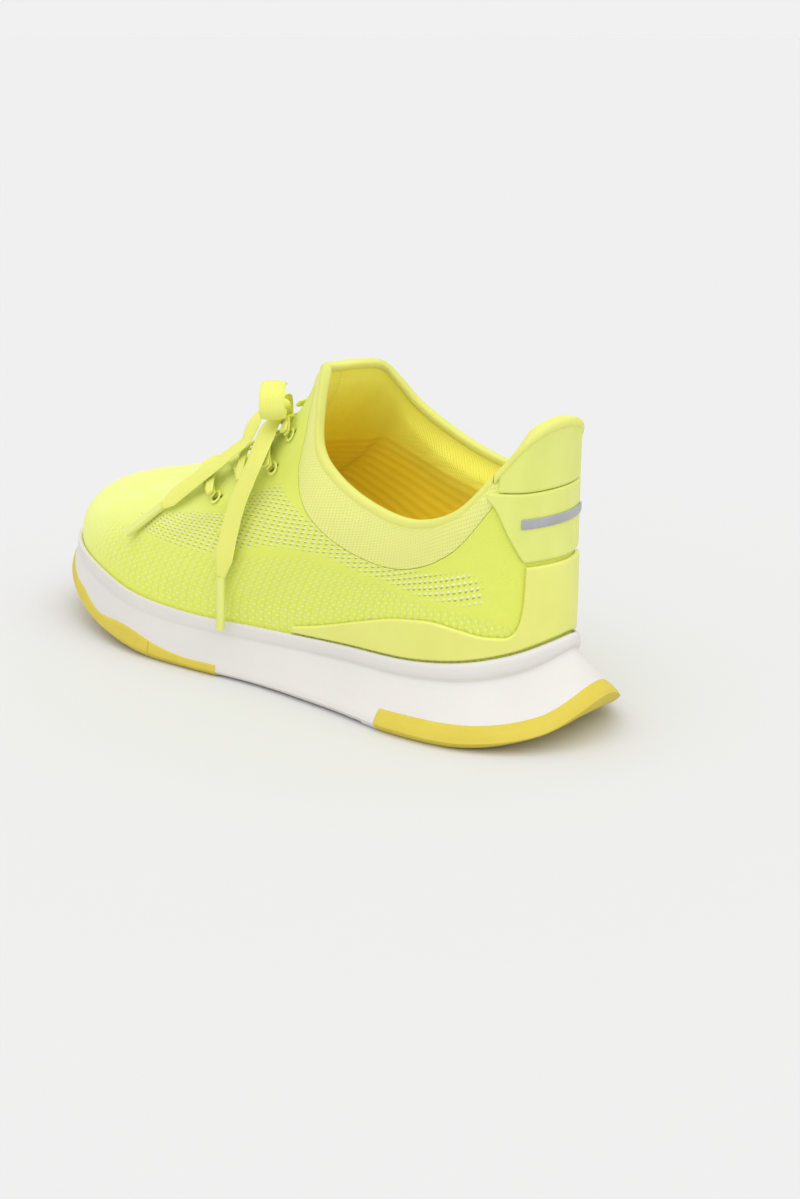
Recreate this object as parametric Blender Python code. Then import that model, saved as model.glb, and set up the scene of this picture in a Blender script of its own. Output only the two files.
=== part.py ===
"""Left running shoe: a knitted bootie upper on a foam midsole with rubber outsole pads, laced and tied in a bow.

Frame: metres, +Z up, +Y towards the toe, +X towards the wearer's right (the medial side of a left shoe).
The origin is on the ground in the middle of the sole's length and width.
"""
import math

import bmesh
import bpy
import numpy as np

MM = 0.001

# Driving sizes: overall
SOLE_LENGTH = 0.281
SOLE_WIDTH = 0.0955
COLLAR_HEIGHT = 0.1235

# Sole unit
RUBBER_THICKNESS = 0.003
RUBBER_LIP_WIDTH = 0.0024
RIM_LIP_WIDTH = 0.001
RIM_WALL_WIDTH = 0.0022
RIM_WALL_DEPTH = 0.005
MIDSOLE_LIFT = 0.0005
POCKET_CLEARANCE = 0.0004
EDGE_BULGE = 0.12
HEEL_RUBBER_FRONT = -0.0715
ARCH_INSERT_LENGTH = 0.007
BALL_RUBBER_BACK = 0.0135
FLEX_LINE = 0.049
FLEX_GROOVE_WIDTH = 0.004
FLEX_GROOVE_DEPTH = 0.0018
FLEX_GROOVES_BALL = (0.027,)
FLEX_GROOVES_TOE = (0.069, 0.092)

# Layers of the upper, counted inwards from the outside of the knit
KNIT_THICKNESS = 0.002
LINING_THICKNESS = 0.001
COUNTER_THICKNESS = 0.0013
PUFF_THICKNESS = 0.0008
PAD_THIN = 0.0008
PAD_THICK = 0.0058
PAD_LOW_SHARE = 0.28
PAD_MIDDLE = 0.014
PAD_MIDDLE_AT_HEEL = 0.033
PAD_SPREAD = 0.009
BINDING_HEIGHT = 0.0032
BINDING_PROUD = 0.0006
STROBEL_THICKNESS = 0.0014
INSOLE_THICKNESS = 0.004

# Overlays of the upper, counted outwards from the knit
OVERLAY_THICKNESS = 0.0014
PANEL_THICKNESS = 0.001
REFLECTOR_THICKNESS = 0.0004
REFLECTOR_HEIGHT = 0.0034
WING_TIP_HEIGHT = 0.002

# Lacing; the lace lies in layers, each one a step above the last
LACE_WIDTH = 0.0095
CROSSING_WIDTH = 0.0046
LACE_THICKNESS = 0.001
LACE_LOW = 0.0022
LACE_STEP = 0.0016
AGLET_WIDTH = 0.0036
AGLET_THICKNESS = 0.0026
EYELET_RADIUS = 0.003
EYELET_HOLE_RADIUS = 0.0017
EYELET_THICKNESS = 0.0005
EYELET_LIFT = 0.0005
EYELET_SIDES = 10
KNOT_LENGTH = 0.011
KNOT_WIDTH = 0.009
KNOT_HEIGHT = 0.0064
KNOT_LIFT = 0.0082

# Clearance between pieces that touch
GAP = 0.0003

# Size that the outlines below were drawn at
DRAWN_LENGTH = 281.0
DRAWN_WIDTH = 95.5
DRAWN_COLLAR = 123.5
LONG = SOLE_LENGTH / (DRAWN_LENGTH * MM)
WIDE = SOLE_WIDTH / (DRAWN_WIDTH * MM)
TALL = COLLAR_HEIGHT / (DRAWN_COLLAR * MM)

# Stations run from the toe tip round the lateral side to the back of the heel, then up the medial side.
# There are 12 from toe to heel, both ends counted, and 10 more on the way back.
SIDE_STATIONS = 12
STATIONS = 22
SPAN = 3
SAMPLES = STATIONS * SPAN
HEEL = SIDE_STATIONS - 1

# Widest outline of the sole, in millimetres (x, y)
SOLE_LATERAL = [(6, 140.5), (-12, 134), (-28.5, 115.5), (-40.5, 90), (-47, 61), (-46, 29),
                (-43, -6), (-44.5, -43), (-47.5, -80), (-42.5, -110), (-26, -132), (0, -140.5)]
SOLE_MEDIAL = [(24, 133), (38, 116), (46, 91), (48, 61), (43, 29),
               (37, -6), (38, -43), (41.5, -80), (38, -108), (22.5, -131)]

# Heights round the sole by station, in millimetres
RIM_LATERAL = [33, 33, 32.5, 30, 25.5, 22.8, 22.8, 24, 25.3, 29, 33.5, 36.5]
RIM_MEDIAL = [33, 32.5, 30, 26, 24.5, 25.5, 26.5, 27, 29.5, 33.5]
WIDEST_LINE = [23, 21, 15, 8, 4, 2.5, 2.5, 3, 3, 3.5, 8, 17.5]
RUBBER_EDGE = [27, 24, 19.5, 12, 9.5, 4.5, 4.5, 5, 5.5, 6.5, 12, 21.5]

# How far the rim sits inside the widest outline, and the flat of the ground face inside it
RIM_INSET = [3, 3, 3, 2.8, 2.5, 3, 5, 9, 12.5, 14.5, 15.8, 15.8]
GROUND_INSET = [7, 7, 6, 4.5, 3, 2.5, 2.5, 2.5, 2.5, 4, 7, 8]

# Side of the foam wall: how far up (0 at the widest line, 1 at the rim) and how far in (1 at the rim)
WALL_RISE = [0.0, 0.25, 0.5, 0.70, 0.77, 0.9, 1.0]
WALL_INSET = [0.0, 0.34, 0.68, 0.97, 0.93, 0.95, 1.0]

# Underside of the sole on its centre line, in millimetres (y, height)
ROCKER = [(-142.5, 15), (-134, 9), (-125, 4.5), (-113, 1), (-100, 0), (45, 0), (62, 1.2),
          (80, 4.5), (100, 9.5), (120, 15.5), (142.5, 22)]

# Topline of the upper: outside of the opening's edge, in millimetres (x, y, z)
TOPLINE_LATERAL = [(1, -12, 122.5), (-10, -15, 123.5), (-18, -22, 123), (-24, -25.5, 112),
                   (-28.5, -29.5, 96), (-31.5, -42, 86.5), (-33, -60, 79.5), (-33.5, -79, 77.3),
                   (-30, -95, 83), (-21.5, -107, 98), (-14, -116, 111), (0, -118.5, 114.5)]
TOPLINE_MEDIAL = [(13, -13, 122), (22, -17, 120.5), (27, -22, 114), (30.5, -30, 105),
                  (32.5, -43, 97), (33, -60, 90), (33, -78, 86), (29.5, -94, 89), (21.5, -107, 100),
                  (14, -115.5, 111)]

# Shape of each line from the sole up to the topline: how far its foot leans out and runs up,
# and where it arrives from below the topline (x outwards, y, z), all in millimetres
FOOT_LEAN = [9, 8, 6, 6, 4, 3, 3, 4, 3.5, 2.5, 1.5, 0.7]
FOOT_RISE = [52, 46, 40, 32, 24, 20, 18, 18, 20, 22, 25, 25]
TOP_ARRIVAL = [(0, 29, -73), (3, 29, -74), (8, 28, -71), (11, 25, -59), (4, 20, -32), (4, 12, -24),
               (1.5, 6, -20), (0, 3, -20), (1, 0, -20), (3, -1, -28), (1, 2.5, -30), (0, 3.5, -30)]

# Edges drawn on the upper: distance below the topline of the collar seam, by station
COLLAR_SEAM = [10, 10, 10, 11, 15, 21, 23, 22, 17, 12, 12, 12]
# Distance below the topline of the padding's and the lining's lower edges, by station
FOAM_REACH = [28, 28, 28, 28, 26, 28, 30, 32, 36, 44, 52, 54]
LINING_REACH = [34, 34, 38, 60, 70, 66, 60, 60, 62, 72, 82, 83]
# Rows of the knitted shell, as shares of its height, and those that the toe puff reaches
KNIT_ROWS = [0, 0.05, 0.1, 0.16, 0.23, 0.32, 0.42, 0.52, 0.62, 0.72, 0.82, 0.91, 1]
PUFF_ROWS = slice(1, 6)
# Upper edge of the heel overlay by station number from the toe: (station, height)
WING_EDGE = [(6.35, 26.5), (6.7, 30), (7.1, 35), (7.6, 40), (8.1, 41.5), (8.6, 40), (9.1, 38.2), (9.45, 38),
             (9.65, 40), (9.78, 45), (9.86, 53), (9.9, 63.5)]
PANEL_EDGE = [(8.75, 87.5), (9.0, 84), (9.3, 77.5), (9.6, 70.5), (9.9, 65)]
FOLD_LINE = 90.0
REFLECTOR_MIDDLE = 79.0
REFLECTOR_ENDS = (9.75, 12.25)
TAB_START = 9.03
TAB_BINDING_START = 8.9
# Eyelets from the toe up, as station and share of the line's length; the medial ones mirror them
EYELETS = [(2.82, 0.565), (2.9, 0.674), (3.1, 0.775), (2.55, 0.849)]
# Where the knot sits, and where the lace from the last eyelets ends beside it
KNOT_PLACE = (0.9, 0.838)
TIE_ENDS = [(2.3, 0.8525), (0.2, 0.852)]
# Bend of the bar towards the toe, and where along each crossing its lower strip goes under the upper one
BAR_BEND = 0.03
CROSSING_DROPS = [(0.2, 0.36), (0.18, 0.32), (0.21, 0.28)]
# The two bow loops: which way each points, and its shape beside the knot in millimetres (outwards, up)
BOW_LOOPS = {
    "bow_loop_lateral": ((-0.78, -0.63), [(6.3, 0.4), (11, 0.8), (16, 0.9), (21, -0.1), (25, 0.4), (27, 3.6),
                                          (25.5, 8.4), (21, 11.2), (15, 12), (10, 9.8), (7, 5.8)]),
    "bow_loop_medial": ((0.75, 0.66), [(6.3, -1), (11, -3.5), (16, -7), (21, -10.5), (25, -11.5), (27.5, -8.5),
                                       (26, -4), (21, -0.5), (15, 1.5), (10, 2.7), (6.5, 2.5)])}
# Free lace ends from the knot to the start of the tip, then the tip's end, in millimetres (x, y, z)
FRONT_END = [(-15.5, 14, 101.3), (-20.5, 13, 97.5), (-24.5, 13.5, 91.5), (-26.6, 18.5, 87), (-28.6, 25, 81.6),
             (-30.3, 33.8, 75.2), (-32.6, 43.4, 67.8), (-34.6, 50.8, 61.6)]
FRONT_TIP = (-41.2, 65.5, 48.6)
SIDE_END = [(-16.5, 5, 100.6), (-22.5, 1.5, 99.8), (-29.5, -2.3, 96.4), (-34.5, -2.5, 89.5), (-37.3, 0.3, 80.5),
            (-39.5, 4, 70.5), (-41.5, 6.4, 60), (-43.2, 7.8, 50.5), (-43.9, 9.2, 42)]
SIDE_TIP = (-45.6, 8.6, 20.9)
# Ways the flat of each free end faces at its start and at its tip
FRONT_FACING = ((-0.45, 0.3, 0.85), (-0.85, 0.2, 0.5))
SIDE_FACING = ((-0.5, 0.1, 0.85), (-1, 0, 0.05))
# Shortest step between stations, and the gap where the two bindings meet
CLOSEST_STATIONS = 0.03
BINDING_JOIN = 0.04


def both_sides(lateral, medial=None):
    """One value or point per station round the shoe; the medial side mirrors the lateral one unless given."""
    lateral = np.array(lateral, float)
    if medial is None:
        medial = lateral[1:-1].copy()
        if medial.ndim == 2:
            medial[:, 0] *= -1
    return np.concatenate([lateral, np.array(medial, float)[::-1]])


def round_curve(stations):
    """Smooth closed curve through the stations, SPAN samples from each one to the next."""
    stations = np.array(stations, float)
    if stations.ndim == 1:
        stations = stations[:, None]
    before = np.roll(stations, 1, 0)
    after = np.roll(stations, -1, 0)
    beyond = np.roll(stations, -2, 0)
    samples = []
    for step in range(SPAN):
        t = step / SPAN
        linear = (after - before) * t
        square = (2 * before - 5 * stations + 4 * after - beyond) * t ** 2
        cube = (3 * stations - before - 3 * after + beyond) * t ** 3
        samples.append(stations + 0.5 * (linear + square + cube))
    curve = np.stack(samples, 1).reshape(len(stations) * SPAN, -1)
    return curve[:, 0] if curve.shape[1] == 1 else curve


def smooth_table(table, at):
    """Value at a place along a table of (place, value) pairs, on a smooth curve that never overshoots."""
    places, values = np.array(table, float).T
    steps = np.diff(values) / np.diff(places)
    before, after = steps[:-1], steps[1:]
    turning = before * after <= 0
    total = np.where(turning, 1.0, before + after)
    inner = np.where(turning, 0.0, 2 * before * after / total)
    slopes = np.concatenate([steps[:1], inner, steps[-1:]])
    at = np.clip(at, places[0], places[-1])
    i = np.clip(np.searchsorted(places, at) - 1, 0, len(places) - 2)
    width = places[i + 1] - places[i]
    t = (at - places[i]) / width
    start = (1 + 2 * t) * (1 - t) ** 2 * values[i] + t * (1 - t) ** 2 * width * slopes[i]
    end = t ** 2 * (3 - 2 * t) * values[i + 1] + t ** 2 * (t - 1) * width * slopes[i + 1]
    return start + end


def rocker_height(y):
    """Height of the ground face under a place along the shoe, in metres."""
    return smooth_table(ROCKER, y / (MM * LONG)) * MM


def centred(points):
    """The outline moved so that its box is centred on the origin."""
    middle = (points.min(0) + points.max(0)) / 2
    return points - middle


SOLE_OUTLINE = centred(round_curve(both_sides(SOLE_LATERAL, SOLE_MEDIAL)) * MM * (WIDE, LONG))
WIDEST_HEIGHT = round_curve(both_sides(WIDEST_LINE)) * MM
RIM_HEIGHT = round_curve(both_sides(RIM_LATERAL, RIM_MEDIAL)) * MM
RUBBER_EDGE_HEIGHT = round_curve(both_sides(RUBBER_EDGE)) * MM
RIM_DISTANCE = round_curve(both_sides(RIM_INSET)) * MM
GROUND_DISTANCE = round_curve(both_sides(GROUND_INSET)) * MM


def outward(outline):
    """Unit vectors pointing out of a closed outline."""
    along = np.roll(outline, -1, 0) - np.roll(outline, 1, 0)
    across = np.stack([along[:, 1], -along[:, 0]], 1)
    return across / np.linalg.norm(across, axis=1)[:, None]


SOLE_OUTWARD = outward(SOLE_OUTLINE)


def sole_ring(inset, height):
    """The sole's outline drawn in by inset, at a height; both may differ from sample to sample."""
    inset = np.broadcast_to(inset, (SAMPLES,))
    flat = SOLE_OUTLINE - SOLE_OUTWARD * inset[:, None]
    if callable(height):
        height = height(flat[:, 1])
    return np.column_stack([flat, np.broadcast_to(height, (SAMPLES,))])


class Solid:
    """Points and faces of one closed body while it is being built."""

    def __init__(self):
        self.points = []
        self.faces = []

    def add(self, points):
        first = len(self.points)
        self.points.extend(tuple(map(float, p)) for p in points)
        return list(range(first, len(self.points)))

    def bridge(self, lower, upper, closed=True):
        """Four-sided faces between two rows of points."""
        count = len(lower) if closed else len(lower) - 1
        for i in range(count):
            j = (i + 1) % len(lower)
            self.faces.append((lower[i], lower[j], upper[j], upper[i]))

    def ladder(self, ring, height, columns=4):
        """Closes a ring that runs round the shoe with rungs from the lateral to the medial side."""
        half = len(ring) // 2
        previous = None
        for i in range(1, half):
            left = np.array(self.points[ring[i]])
            right = np.array(self.points[ring[-i]])
            share = np.arange(1, columns)[:, None] / columns
            rung = left + (right - left) * share
            rung[:, 2] = height(rung, share[:, 0], left[2], right[2])
            row = [ring[i]] + self.add(rung) + [ring[-i]]
            if previous:
                self.bridge(previous, row, closed=False)
            else:
                self.fan(ring[0], row)
            previous = row
        self.fan(ring[half], previous)

    def fan(self, tip, row):
        for a, b in zip(row, row[1:]):
            self.faces.append((tip, a, b))

    def stack(self, rings, low_height, high_height):
        """Rings one above the other, closed by a ladder at both ends."""
        rows = [self.add(ring) for ring in rings]
        for lower, upper in zip(rows, rows[1:]):
            self.bridge(lower, upper)
        self.ladder(rows[0], low_height)
        self.ladder(rows[-1], high_height)


def level_across(rung, share, left, right):
    """Height of a rung that runs straight from side to side."""
    return left + (right - left) * share


def on_rocker(lift):
    """Height of a rung that follows the ground face at a distance above it."""
    def height(rung, share, left, right):
        return rocker_height(rung[:, 1]) + lift
    return height


MATERIALS = {}


def material(name, colour, roughness, metallic=0.0):
    """A plain finish, made once and shared by name."""
    if name not in MATERIALS:
        made = bpy.data.materials.new(name)
        made.use_nodes = True
        shader = made.node_tree.nodes["Principled BSDF"]
        shader.inputs["Base Color"].default_value = (*colour, 1)
        shader.inputs["Roughness"].default_value = roughness
        shader.inputs["Metallic"].default_value = metallic
        made.diffuse_color = (*colour, 1)
        MATERIALS[name] = made
    return MATERIALS[name]


def foam():
    return material("midsole_foam", (0.86, 0.84, 0.82), 0.6)


def rubber():
    return material("outsole_rubber", (0.80, 0.66, 0.08), 0.55)


def knit():
    return material("lime_knit", (0.72, 0.90, 0.10), 0.85)


def mesh_knit():
    return material("collar_knit", (0.84, 0.88, 0.20), 0.85)


def binding():
    return material("edge_binding", (0.88, 0.92, 0.08), 0.7)


def overlay_plastic():
    return material("heel_overlay", (0.90, 0.88, 0.18), 0.45)


def film():
    return material("heel_film", (0.82, 0.93, 0.15), 0.5)


def reflective():
    return material("reflective_film", (0.42, 0.43, 0.45), 0.35, 0.4)


def lace_yarn():
    return material("lace_yarn", (0.90, 0.88, 0.05), 0.8)


def lace_tip():
    return material("lace_tip", (0.90, 0.90, 0.20), 0.3)


def eyelet_film():
    return material("eyelet_film", (0.80, 0.92, 0.12), 0.4)


def lining_fabric():
    return material("lining_fabric", (0.85, 0.72, 0.08), 0.9)


def sock_foam():
    return material("insole_fabric", (0.80, 0.62, 0.10), 0.85)


def board():
    return material("bottom_board", (0.75, 0.72, 0.62), 0.9)


def stiffener():
    return material("stiffener_sheet", (0.70, 0.70, 0.66), 0.6)


def padding():
    return material("collar_foam", (0.86, 0.82, 0.50), 0.9)


def make_object(name, points, faces, finish, sharp=35):
    """A mesh object with its faces pointing outwards and its round stretches shaded smooth."""
    mesh = bpy.data.meshes.new(name)
    mesh.from_pydata(points, [], faces)
    shape = bmesh.new()
    shape.from_mesh(mesh)
    bmesh.ops.recalc_face_normals(shape, faces=shape.faces)
    shape.to_mesh(mesh)
    shape.free()
    mesh.materials.append(finish)
    mesh.shade_smooth()
    mesh.set_sharp_from_angle(angle=math.radians(sharp))
    made = bpy.data.objects.new(name, mesh)
    bpy.context.scene.collection.objects.link(made)
    return made


def keep_between(made, back, front):
    """Cuts an object to the stretch between two places along the shoe and closes the cut faces."""
    shape = bmesh.new()
    shape.from_mesh(made.data)
    for place, normal in ((back, (0, -1, 0)), (front, (0, 1, 0))):
        if place is None:
            continue
        geometry = shape.verts[:] + shape.edges[:] + shape.faces[:]
        bmesh.ops.bisect_plane(shape, geom=geometry, plane_co=(0, place, 0), plane_no=normal, clear_outer=True)
        open_edges = [edge for edge in shape.edges if edge.is_boundary]
        bmesh.ops.edgeloop_fill(shape, edges=open_edges)
    bmesh.ops.recalc_face_normals(shape, faces=shape.faces)
    shape.to_mesh(made.data)
    shape.free()
    made.data.set_sharp_from_angle(angle=math.radians(35))
    return made


def as_cutter(made):
    """Marks an object as a tool for cutting, which is no part of the shoe."""
    made.hide_render = True
    made.display_type = "WIRE"
    return made


def cut(made, cutter):
    """Leaves the cutter's shape out of an object."""
    modifier = made.modifiers.new("cut_" + cutter.name, "BOOLEAN")
    modifier.operation = "DIFFERENCE"
    modifier.solver = "EXACT"
    modifier.object = cutter


# Sole unit

def wall_ring(rise):
    """Ring on the foam's side wall, from the widest line (0) to the rim (1)."""
    height = WIDEST_HEIGHT + (RIM_HEIGHT - WIDEST_HEIGHT) * rise
    return sole_ring(np.interp(rise, WALL_RISE, WALL_INSET) * RIM_DISTANCE, height)


def rolled_edge(ground):
    """Ring on the rounded corner between the ground face and the widest line."""
    bulge = np.column_stack([SOLE_OUTWARD, np.full(SAMPLES, -1.0)]) * EDGE_BULGE * GROUND_DISTANCE[:, None]
    return (ground + wall_ring(0)) / 2 + bulge


def rubber_slab(name, back, front, finish):
    """The stretch of the rubber layer between two places along the shoe, with its lip up the side."""
    ground = sole_ring(GROUND_DISTANCE, rocker_height)
    rise = (RUBBER_EDGE_HEIGHT - WIDEST_HEIGHT) / (RIM_HEIGHT - WIDEST_HEIGHT)
    edge_inset = np.interp(rise, WALL_RISE, WALL_INSET) * RIM_DISTANCE
    edge_outer = sole_ring(edge_inset, RUBBER_EDGE_HEIGHT)
    edge_inner = sole_ring(edge_inset + RUBBER_LIP_WIDTH, RUBBER_EDGE_HEIGHT)
    inside = sole_ring(GROUND_DISTANCE + RUBBER_LIP_WIDTH, lambda y: rocker_height(y) + RUBBER_THICKNESS)
    solid = Solid()
    rings = [ground, rolled_edge(ground), wall_ring(0), edge_outer, edge_inner, inside]
    solid.stack(rings, on_rocker(0), on_rocker(RUBBER_THICKNESS))
    made = make_object(name, solid.points, solid.faces, finish)
    return keep_between(made, back, front)


def pocket_cutter(pad):
    """The pad's own shape grown evenly by the clearance, which the foam is cut by."""
    shape = bmesh.new()
    shape.from_mesh(pad.data)
    shape.normal_update()
    moves = [vertex.normal * vertex.calc_shell_factor() * POCKET_CLEARANCE for vertex in shape.verts]
    for vertex, move in zip(shape.verts, moves):
        vertex.co += move
    mesh = bpy.data.meshes.new(pad.name + "_pocket")
    shape.to_mesh(mesh)
    shape.free()
    cutter = bpy.data.objects.new(mesh.name, mesh)
    bpy.context.scene.collection.objects.link(cutter)
    return as_cutter(cutter)


def groove_cutter(name, place):
    """A V-shaped bar that cuts one flex groove across the ground face."""
    half = FLEX_GROOVE_WIDTH / 2
    floor = float(rocker_height(place))
    profile = [(place - 2 * half, floor - FLEX_GROOVE_DEPTH), (place + 2 * half, floor - FLEX_GROOVE_DEPTH),
               (place, floor + FLEX_GROOVE_DEPTH)]
    solid = Solid()
    reach = SOLE_WIDTH
    left = solid.add([(-reach, y, z) for y, z in profile])
    right = solid.add([(reach, y, z) for y, z in profile])
    solid.bridge(left, right)
    solid.faces.append(tuple(left))
    solid.faces.append(tuple(reversed(right)))
    return as_cutter(make_object(name, solid.points, solid.faces, rubber()))


def make_outsole():
    """Rubber pads under the heel and the forefoot, and the small insert ahead of the heel pad."""
    heel = rubber_slab("outsole_heel", None, HEEL_RUBBER_FRONT - GAP, rubber())
    insert = rubber_slab("arch_insert", HEEL_RUBBER_FRONT, HEEL_RUBBER_FRONT + ARCH_INSERT_LENGTH, foam())
    ball = rubber_slab("outsole_ball", BALL_RUBBER_BACK, FLEX_LINE - GAP / 2, rubber())
    toe = rubber_slab("outsole_toe", FLEX_LINE + GAP / 2, None, rubber())
    pockets = [pocket_cutter(pad) for pad in (heel, insert, ball, toe)]
    for pad, places in ((ball, FLEX_GROOVES_BALL), (toe, FLEX_GROOVES_TOE)):
        for number, place in enumerate(places, 1):
            cut(pad, groove_cutter(f"{pad.name}_groove_{number}", place))
    return pockets


def footbed_ring(extra=0.0, lift=0.0):
    """Ring inside the rim's wall, on the footbed."""
    return sole_ring(RIM_DISTANCE + RIM_WALL_WIDTH + extra, RIM_HEIGHT - RIM_WALL_DEPTH + lift)


def make_midsole(pockets):
    """The foam cup, cut for the rubber and parted at the flex line."""
    ground = sole_ring(GROUND_DISTANCE, lambda y: rocker_height(y) + MIDSOLE_LIFT)
    rings = [ground, rolled_edge(ground)] + [wall_ring(rise) for rise in WALL_RISE]
    rings.append(sole_ring(RIM_DISTANCE + RIM_LIP_WIDTH, RIM_HEIGHT))
    rings.append(footbed_ring(extra=GAP))
    for name, back, front, cutters in (("midsole_rearfoot", None, FLEX_LINE - GAP / 2, pockets[:3]),
                                       ("midsole_forefoot", FLEX_LINE + GAP / 2, None, pockets[3:])):
        solid = Solid()
        solid.stack(rings, on_rocker(MIDSOLE_LIFT), level_across)
        half = make_object(name, solid.points, solid.faces, foam())
        keep_between(half, back, front)
        for cutter in cutters:
            cut(half, cutter)


def inner_sheet(name, inset, low, thickness, finish):
    """A flat sheet that lies in the foam cup."""
    solid = Solid()
    lower = footbed_ring(extra=inset, lift=low)
    upper = footbed_ring(extra=inset, lift=low + thickness)
    solid.stack([lower, upper], level_across, level_across)
    return make_object(name, solid.points, solid.faces, finish)


def make_bottom_sheets():
    """The board sewn to the upper's edge, and the loose insole on it."""
    board_inset = GAP + KNIT_THICKNESS + GAP
    inner_sheet("strobel_board", board_inset, GAP, STROBEL_THICKNESS, board())
    layers = KNIT_THICKNESS + PAD_THIN + (PAD_THICK - PAD_THIN) * PAD_LOW_SHARE + LINING_THICKNESS
    insole_low = GAP + STROBEL_THICKNESS + GAP
    inner_sheet("insole", layers + 3 * GAP, insole_low, INSOLE_THICKNESS, sock_foam())


# Surface of the upper

LINE_SAMPLES = 40
FEATHER = footbed_ring(extra=GAP, lift=GAP)
TOPLINE = round_curve(both_sides(TOPLINE_LATERAL, TOPLINE_MEDIAL) * (WIDE, LONG, TALL)) * MM


def upper_lines():
    """One curve from the footbed up to the topline at each sample round the shoe."""
    lean = round_curve(both_sides(FOOT_LEAN)) * MM
    rise = round_curve(both_sides(FOOT_RISE)) * MM * TALL
    arrival = np.array(TOP_ARRIVAL, float) * (-1, 1, 1)
    arrival = round_curve(both_sides(arrival) * (WIDE, LONG, TALL)) * MM
    leaning = np.column_stack([SOLE_OUTWARD * lean[:, None], rise])
    share = np.linspace(0, 1, LINE_SAMPLES)[None, :, None]
    start = FEATHER[:, None]
    start_pull = (FEATHER + leaning)[:, None]
    end_pull = (TOPLINE + arrival)[:, None]
    end = TOPLINE[:, None]
    return ((1 - share) ** 3 * start + 3 * (1 - share) ** 2 * share * start_pull
            + 3 * (1 - share) * share ** 2 * end_pull + share ** 3 * end)


LINES = upper_lines()
STEPS = np.linalg.norm(np.diff(LINES, axis=1), axis=2)
RUNS = np.concatenate([np.zeros((SAMPLES, 1)), np.cumsum(STEPS, 1)], 1)


def line_normals():
    """Unit vectors pointing out of the upper at each point of its lines."""
    around = np.roll(LINES, -1, 0) - np.roll(LINES, 1, 0)
    along = np.gradient(LINES, axis=1)
    across = np.cross(around, along)
    return across / np.linalg.norm(across, axis=2)[:, :, None]


NORMALS = line_normals()


def line_length(station):
    """Length of the upper's line at a station, from the footbed to the topline."""
    at = station * SPAN
    low = int(math.floor(at))
    part = at - low
    return RUNS[low % SAMPLES, -1] * (1 - part) + RUNS[(low + 1) % SAMPLES, -1] * part


def surface(station, run):
    """Point and outward vector on the upper at a station, a distance up its line."""
    at = station * SPAN
    low = int(math.floor(at))
    part = at - low
    reach = run / line_length(station)
    point = np.zeros(3)
    normal = np.zeros(3)
    for line, weight in ((low % SAMPLES, 1 - part), ((low + 1) % SAMPLES, part)):
        distance = reach * RUNS[line, -1]
        for axis in range(3):
            point[axis] += weight * np.interp(distance, RUNS[line], LINES[line, :, axis])
            normal[axis] += weight * np.interp(distance, RUNS[line], NORMALS[line, :, axis])
    return point, normal / np.linalg.norm(normal)


def run_at_height(station, height):
    """How far up its line the upper reaches a height; the lines rise all the way at the back and sides."""
    runs = np.linspace(0, line_length(station), 60)
    heights = [surface(station, run)[0][2] for run in runs]
    return float(np.interp(height, heights, runs))


def layer_point(station, run, depth):
    """Point a depth inside the upper's surface, or outside it where the depth is negative."""
    point, normal = surface(station, run)
    return point - normal * depth


def even_rows(low, high, rows):
    """Function that gives evenly spaced runs at a station, between two functions of the station."""
    return lambda station: np.linspace(low(station), high(station), rows + 1)


def plate(name, stations, runs, outer, inner, finish, closed=False):
    """A sheet that follows the upper, with a row of points at each of its runs, between two depths."""
    solid = Solid()
    sides = []
    heights = [runs(station) for station in stations]
    for depth in (outer, inner):
        grid = []
        for row in range(len(heights[0])):
            places = [(station, column[row]) for station, column in zip(stations, heights)]
            grid.append(solid.add([layer_point(*place, depth(*place)) for place in places]))
        for first, second in zip(grid, grid[1:]):
            solid.bridge(first, second, closed)
        sides.append(grid)
    front, back = sides
    solid.bridge(front[0], back[0], closed)
    solid.bridge(front[-1], back[-1], closed)
    if not closed:
        solid.bridge([row[0] for row in front], [row[0] for row in back], closed=False)
        solid.bridge([row[-1] for row in front], [row[-1] for row in back], closed=False)
    return make_object(name, solid.points, solid.faces, finish)


ALL_ROUND = np.arange(SAMPLES) / SPAN


def station_value(table):
    """Function that reads a table of (station, value) on either side, mirrored at the heel."""
    def value(station):
        side = station if station <= HEEL else 2 * HEEL - station
        return float(smooth_table(table, side)) * MM
    return value


def per_station(values):
    """Function that reads one value per station, the same on both sides."""
    return station_value(list(enumerate(values)))


def constant(depth):
    """Depth function of a layer of even depth."""
    return lambda station, run: depth


def fade(value, start, end):
    """Smooth step from 0 at start to 1 at end."""
    t = min(max((value - start) / (end - start), 0.0), 1.0)
    return t * t * (3 - 2 * t)


def padding_depth(station, run):
    """Thickness of what lies between the knit and the lining."""
    side = station if station <= HEEL else 2 * HEEL - station
    rear = fade(side, 3.2, 6.0)
    below = line_length(station) - run
    middle = PAD_MIDDLE + (PAD_MIDDLE_AT_HEEL - PAD_MIDDLE) * fade(side, 8.0, 10.0)
    swell = math.exp(-((below - middle) / PAD_SPREAD) ** 2)
    share = PAD_LOW_SHARE + (1 - PAD_LOW_SHARE) * swell
    return PAD_THIN + (PAD_THICK - PAD_THIN) * share * rear


def lining_outer(station, run):
    return KNIT_THICKNESS + padding_depth(station, run) + GAP


def lining_inner(station, run):
    return lining_outer(station, run) + LINING_THICKNESS


seam_distance = per_station(COLLAR_SEAM)
foam_distance = per_station(FOAM_REACH)
lining_distance = per_station(LINING_REACH)


def seam_run(station):
    return line_length(station) - seam_distance(station)


def topline_run(station, below):
    return line_length(station) - below


def under_binding(station):
    """Run at which a layer stops below the bound edge."""
    return topline_run(station, BINDING_HEIGHT + 3 * GAP)


def foot_of_upper(station):
    """Run at which an inner layer starts, above the bottom board."""
    return STROBEL_THICKNESS + 2 * GAP


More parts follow.
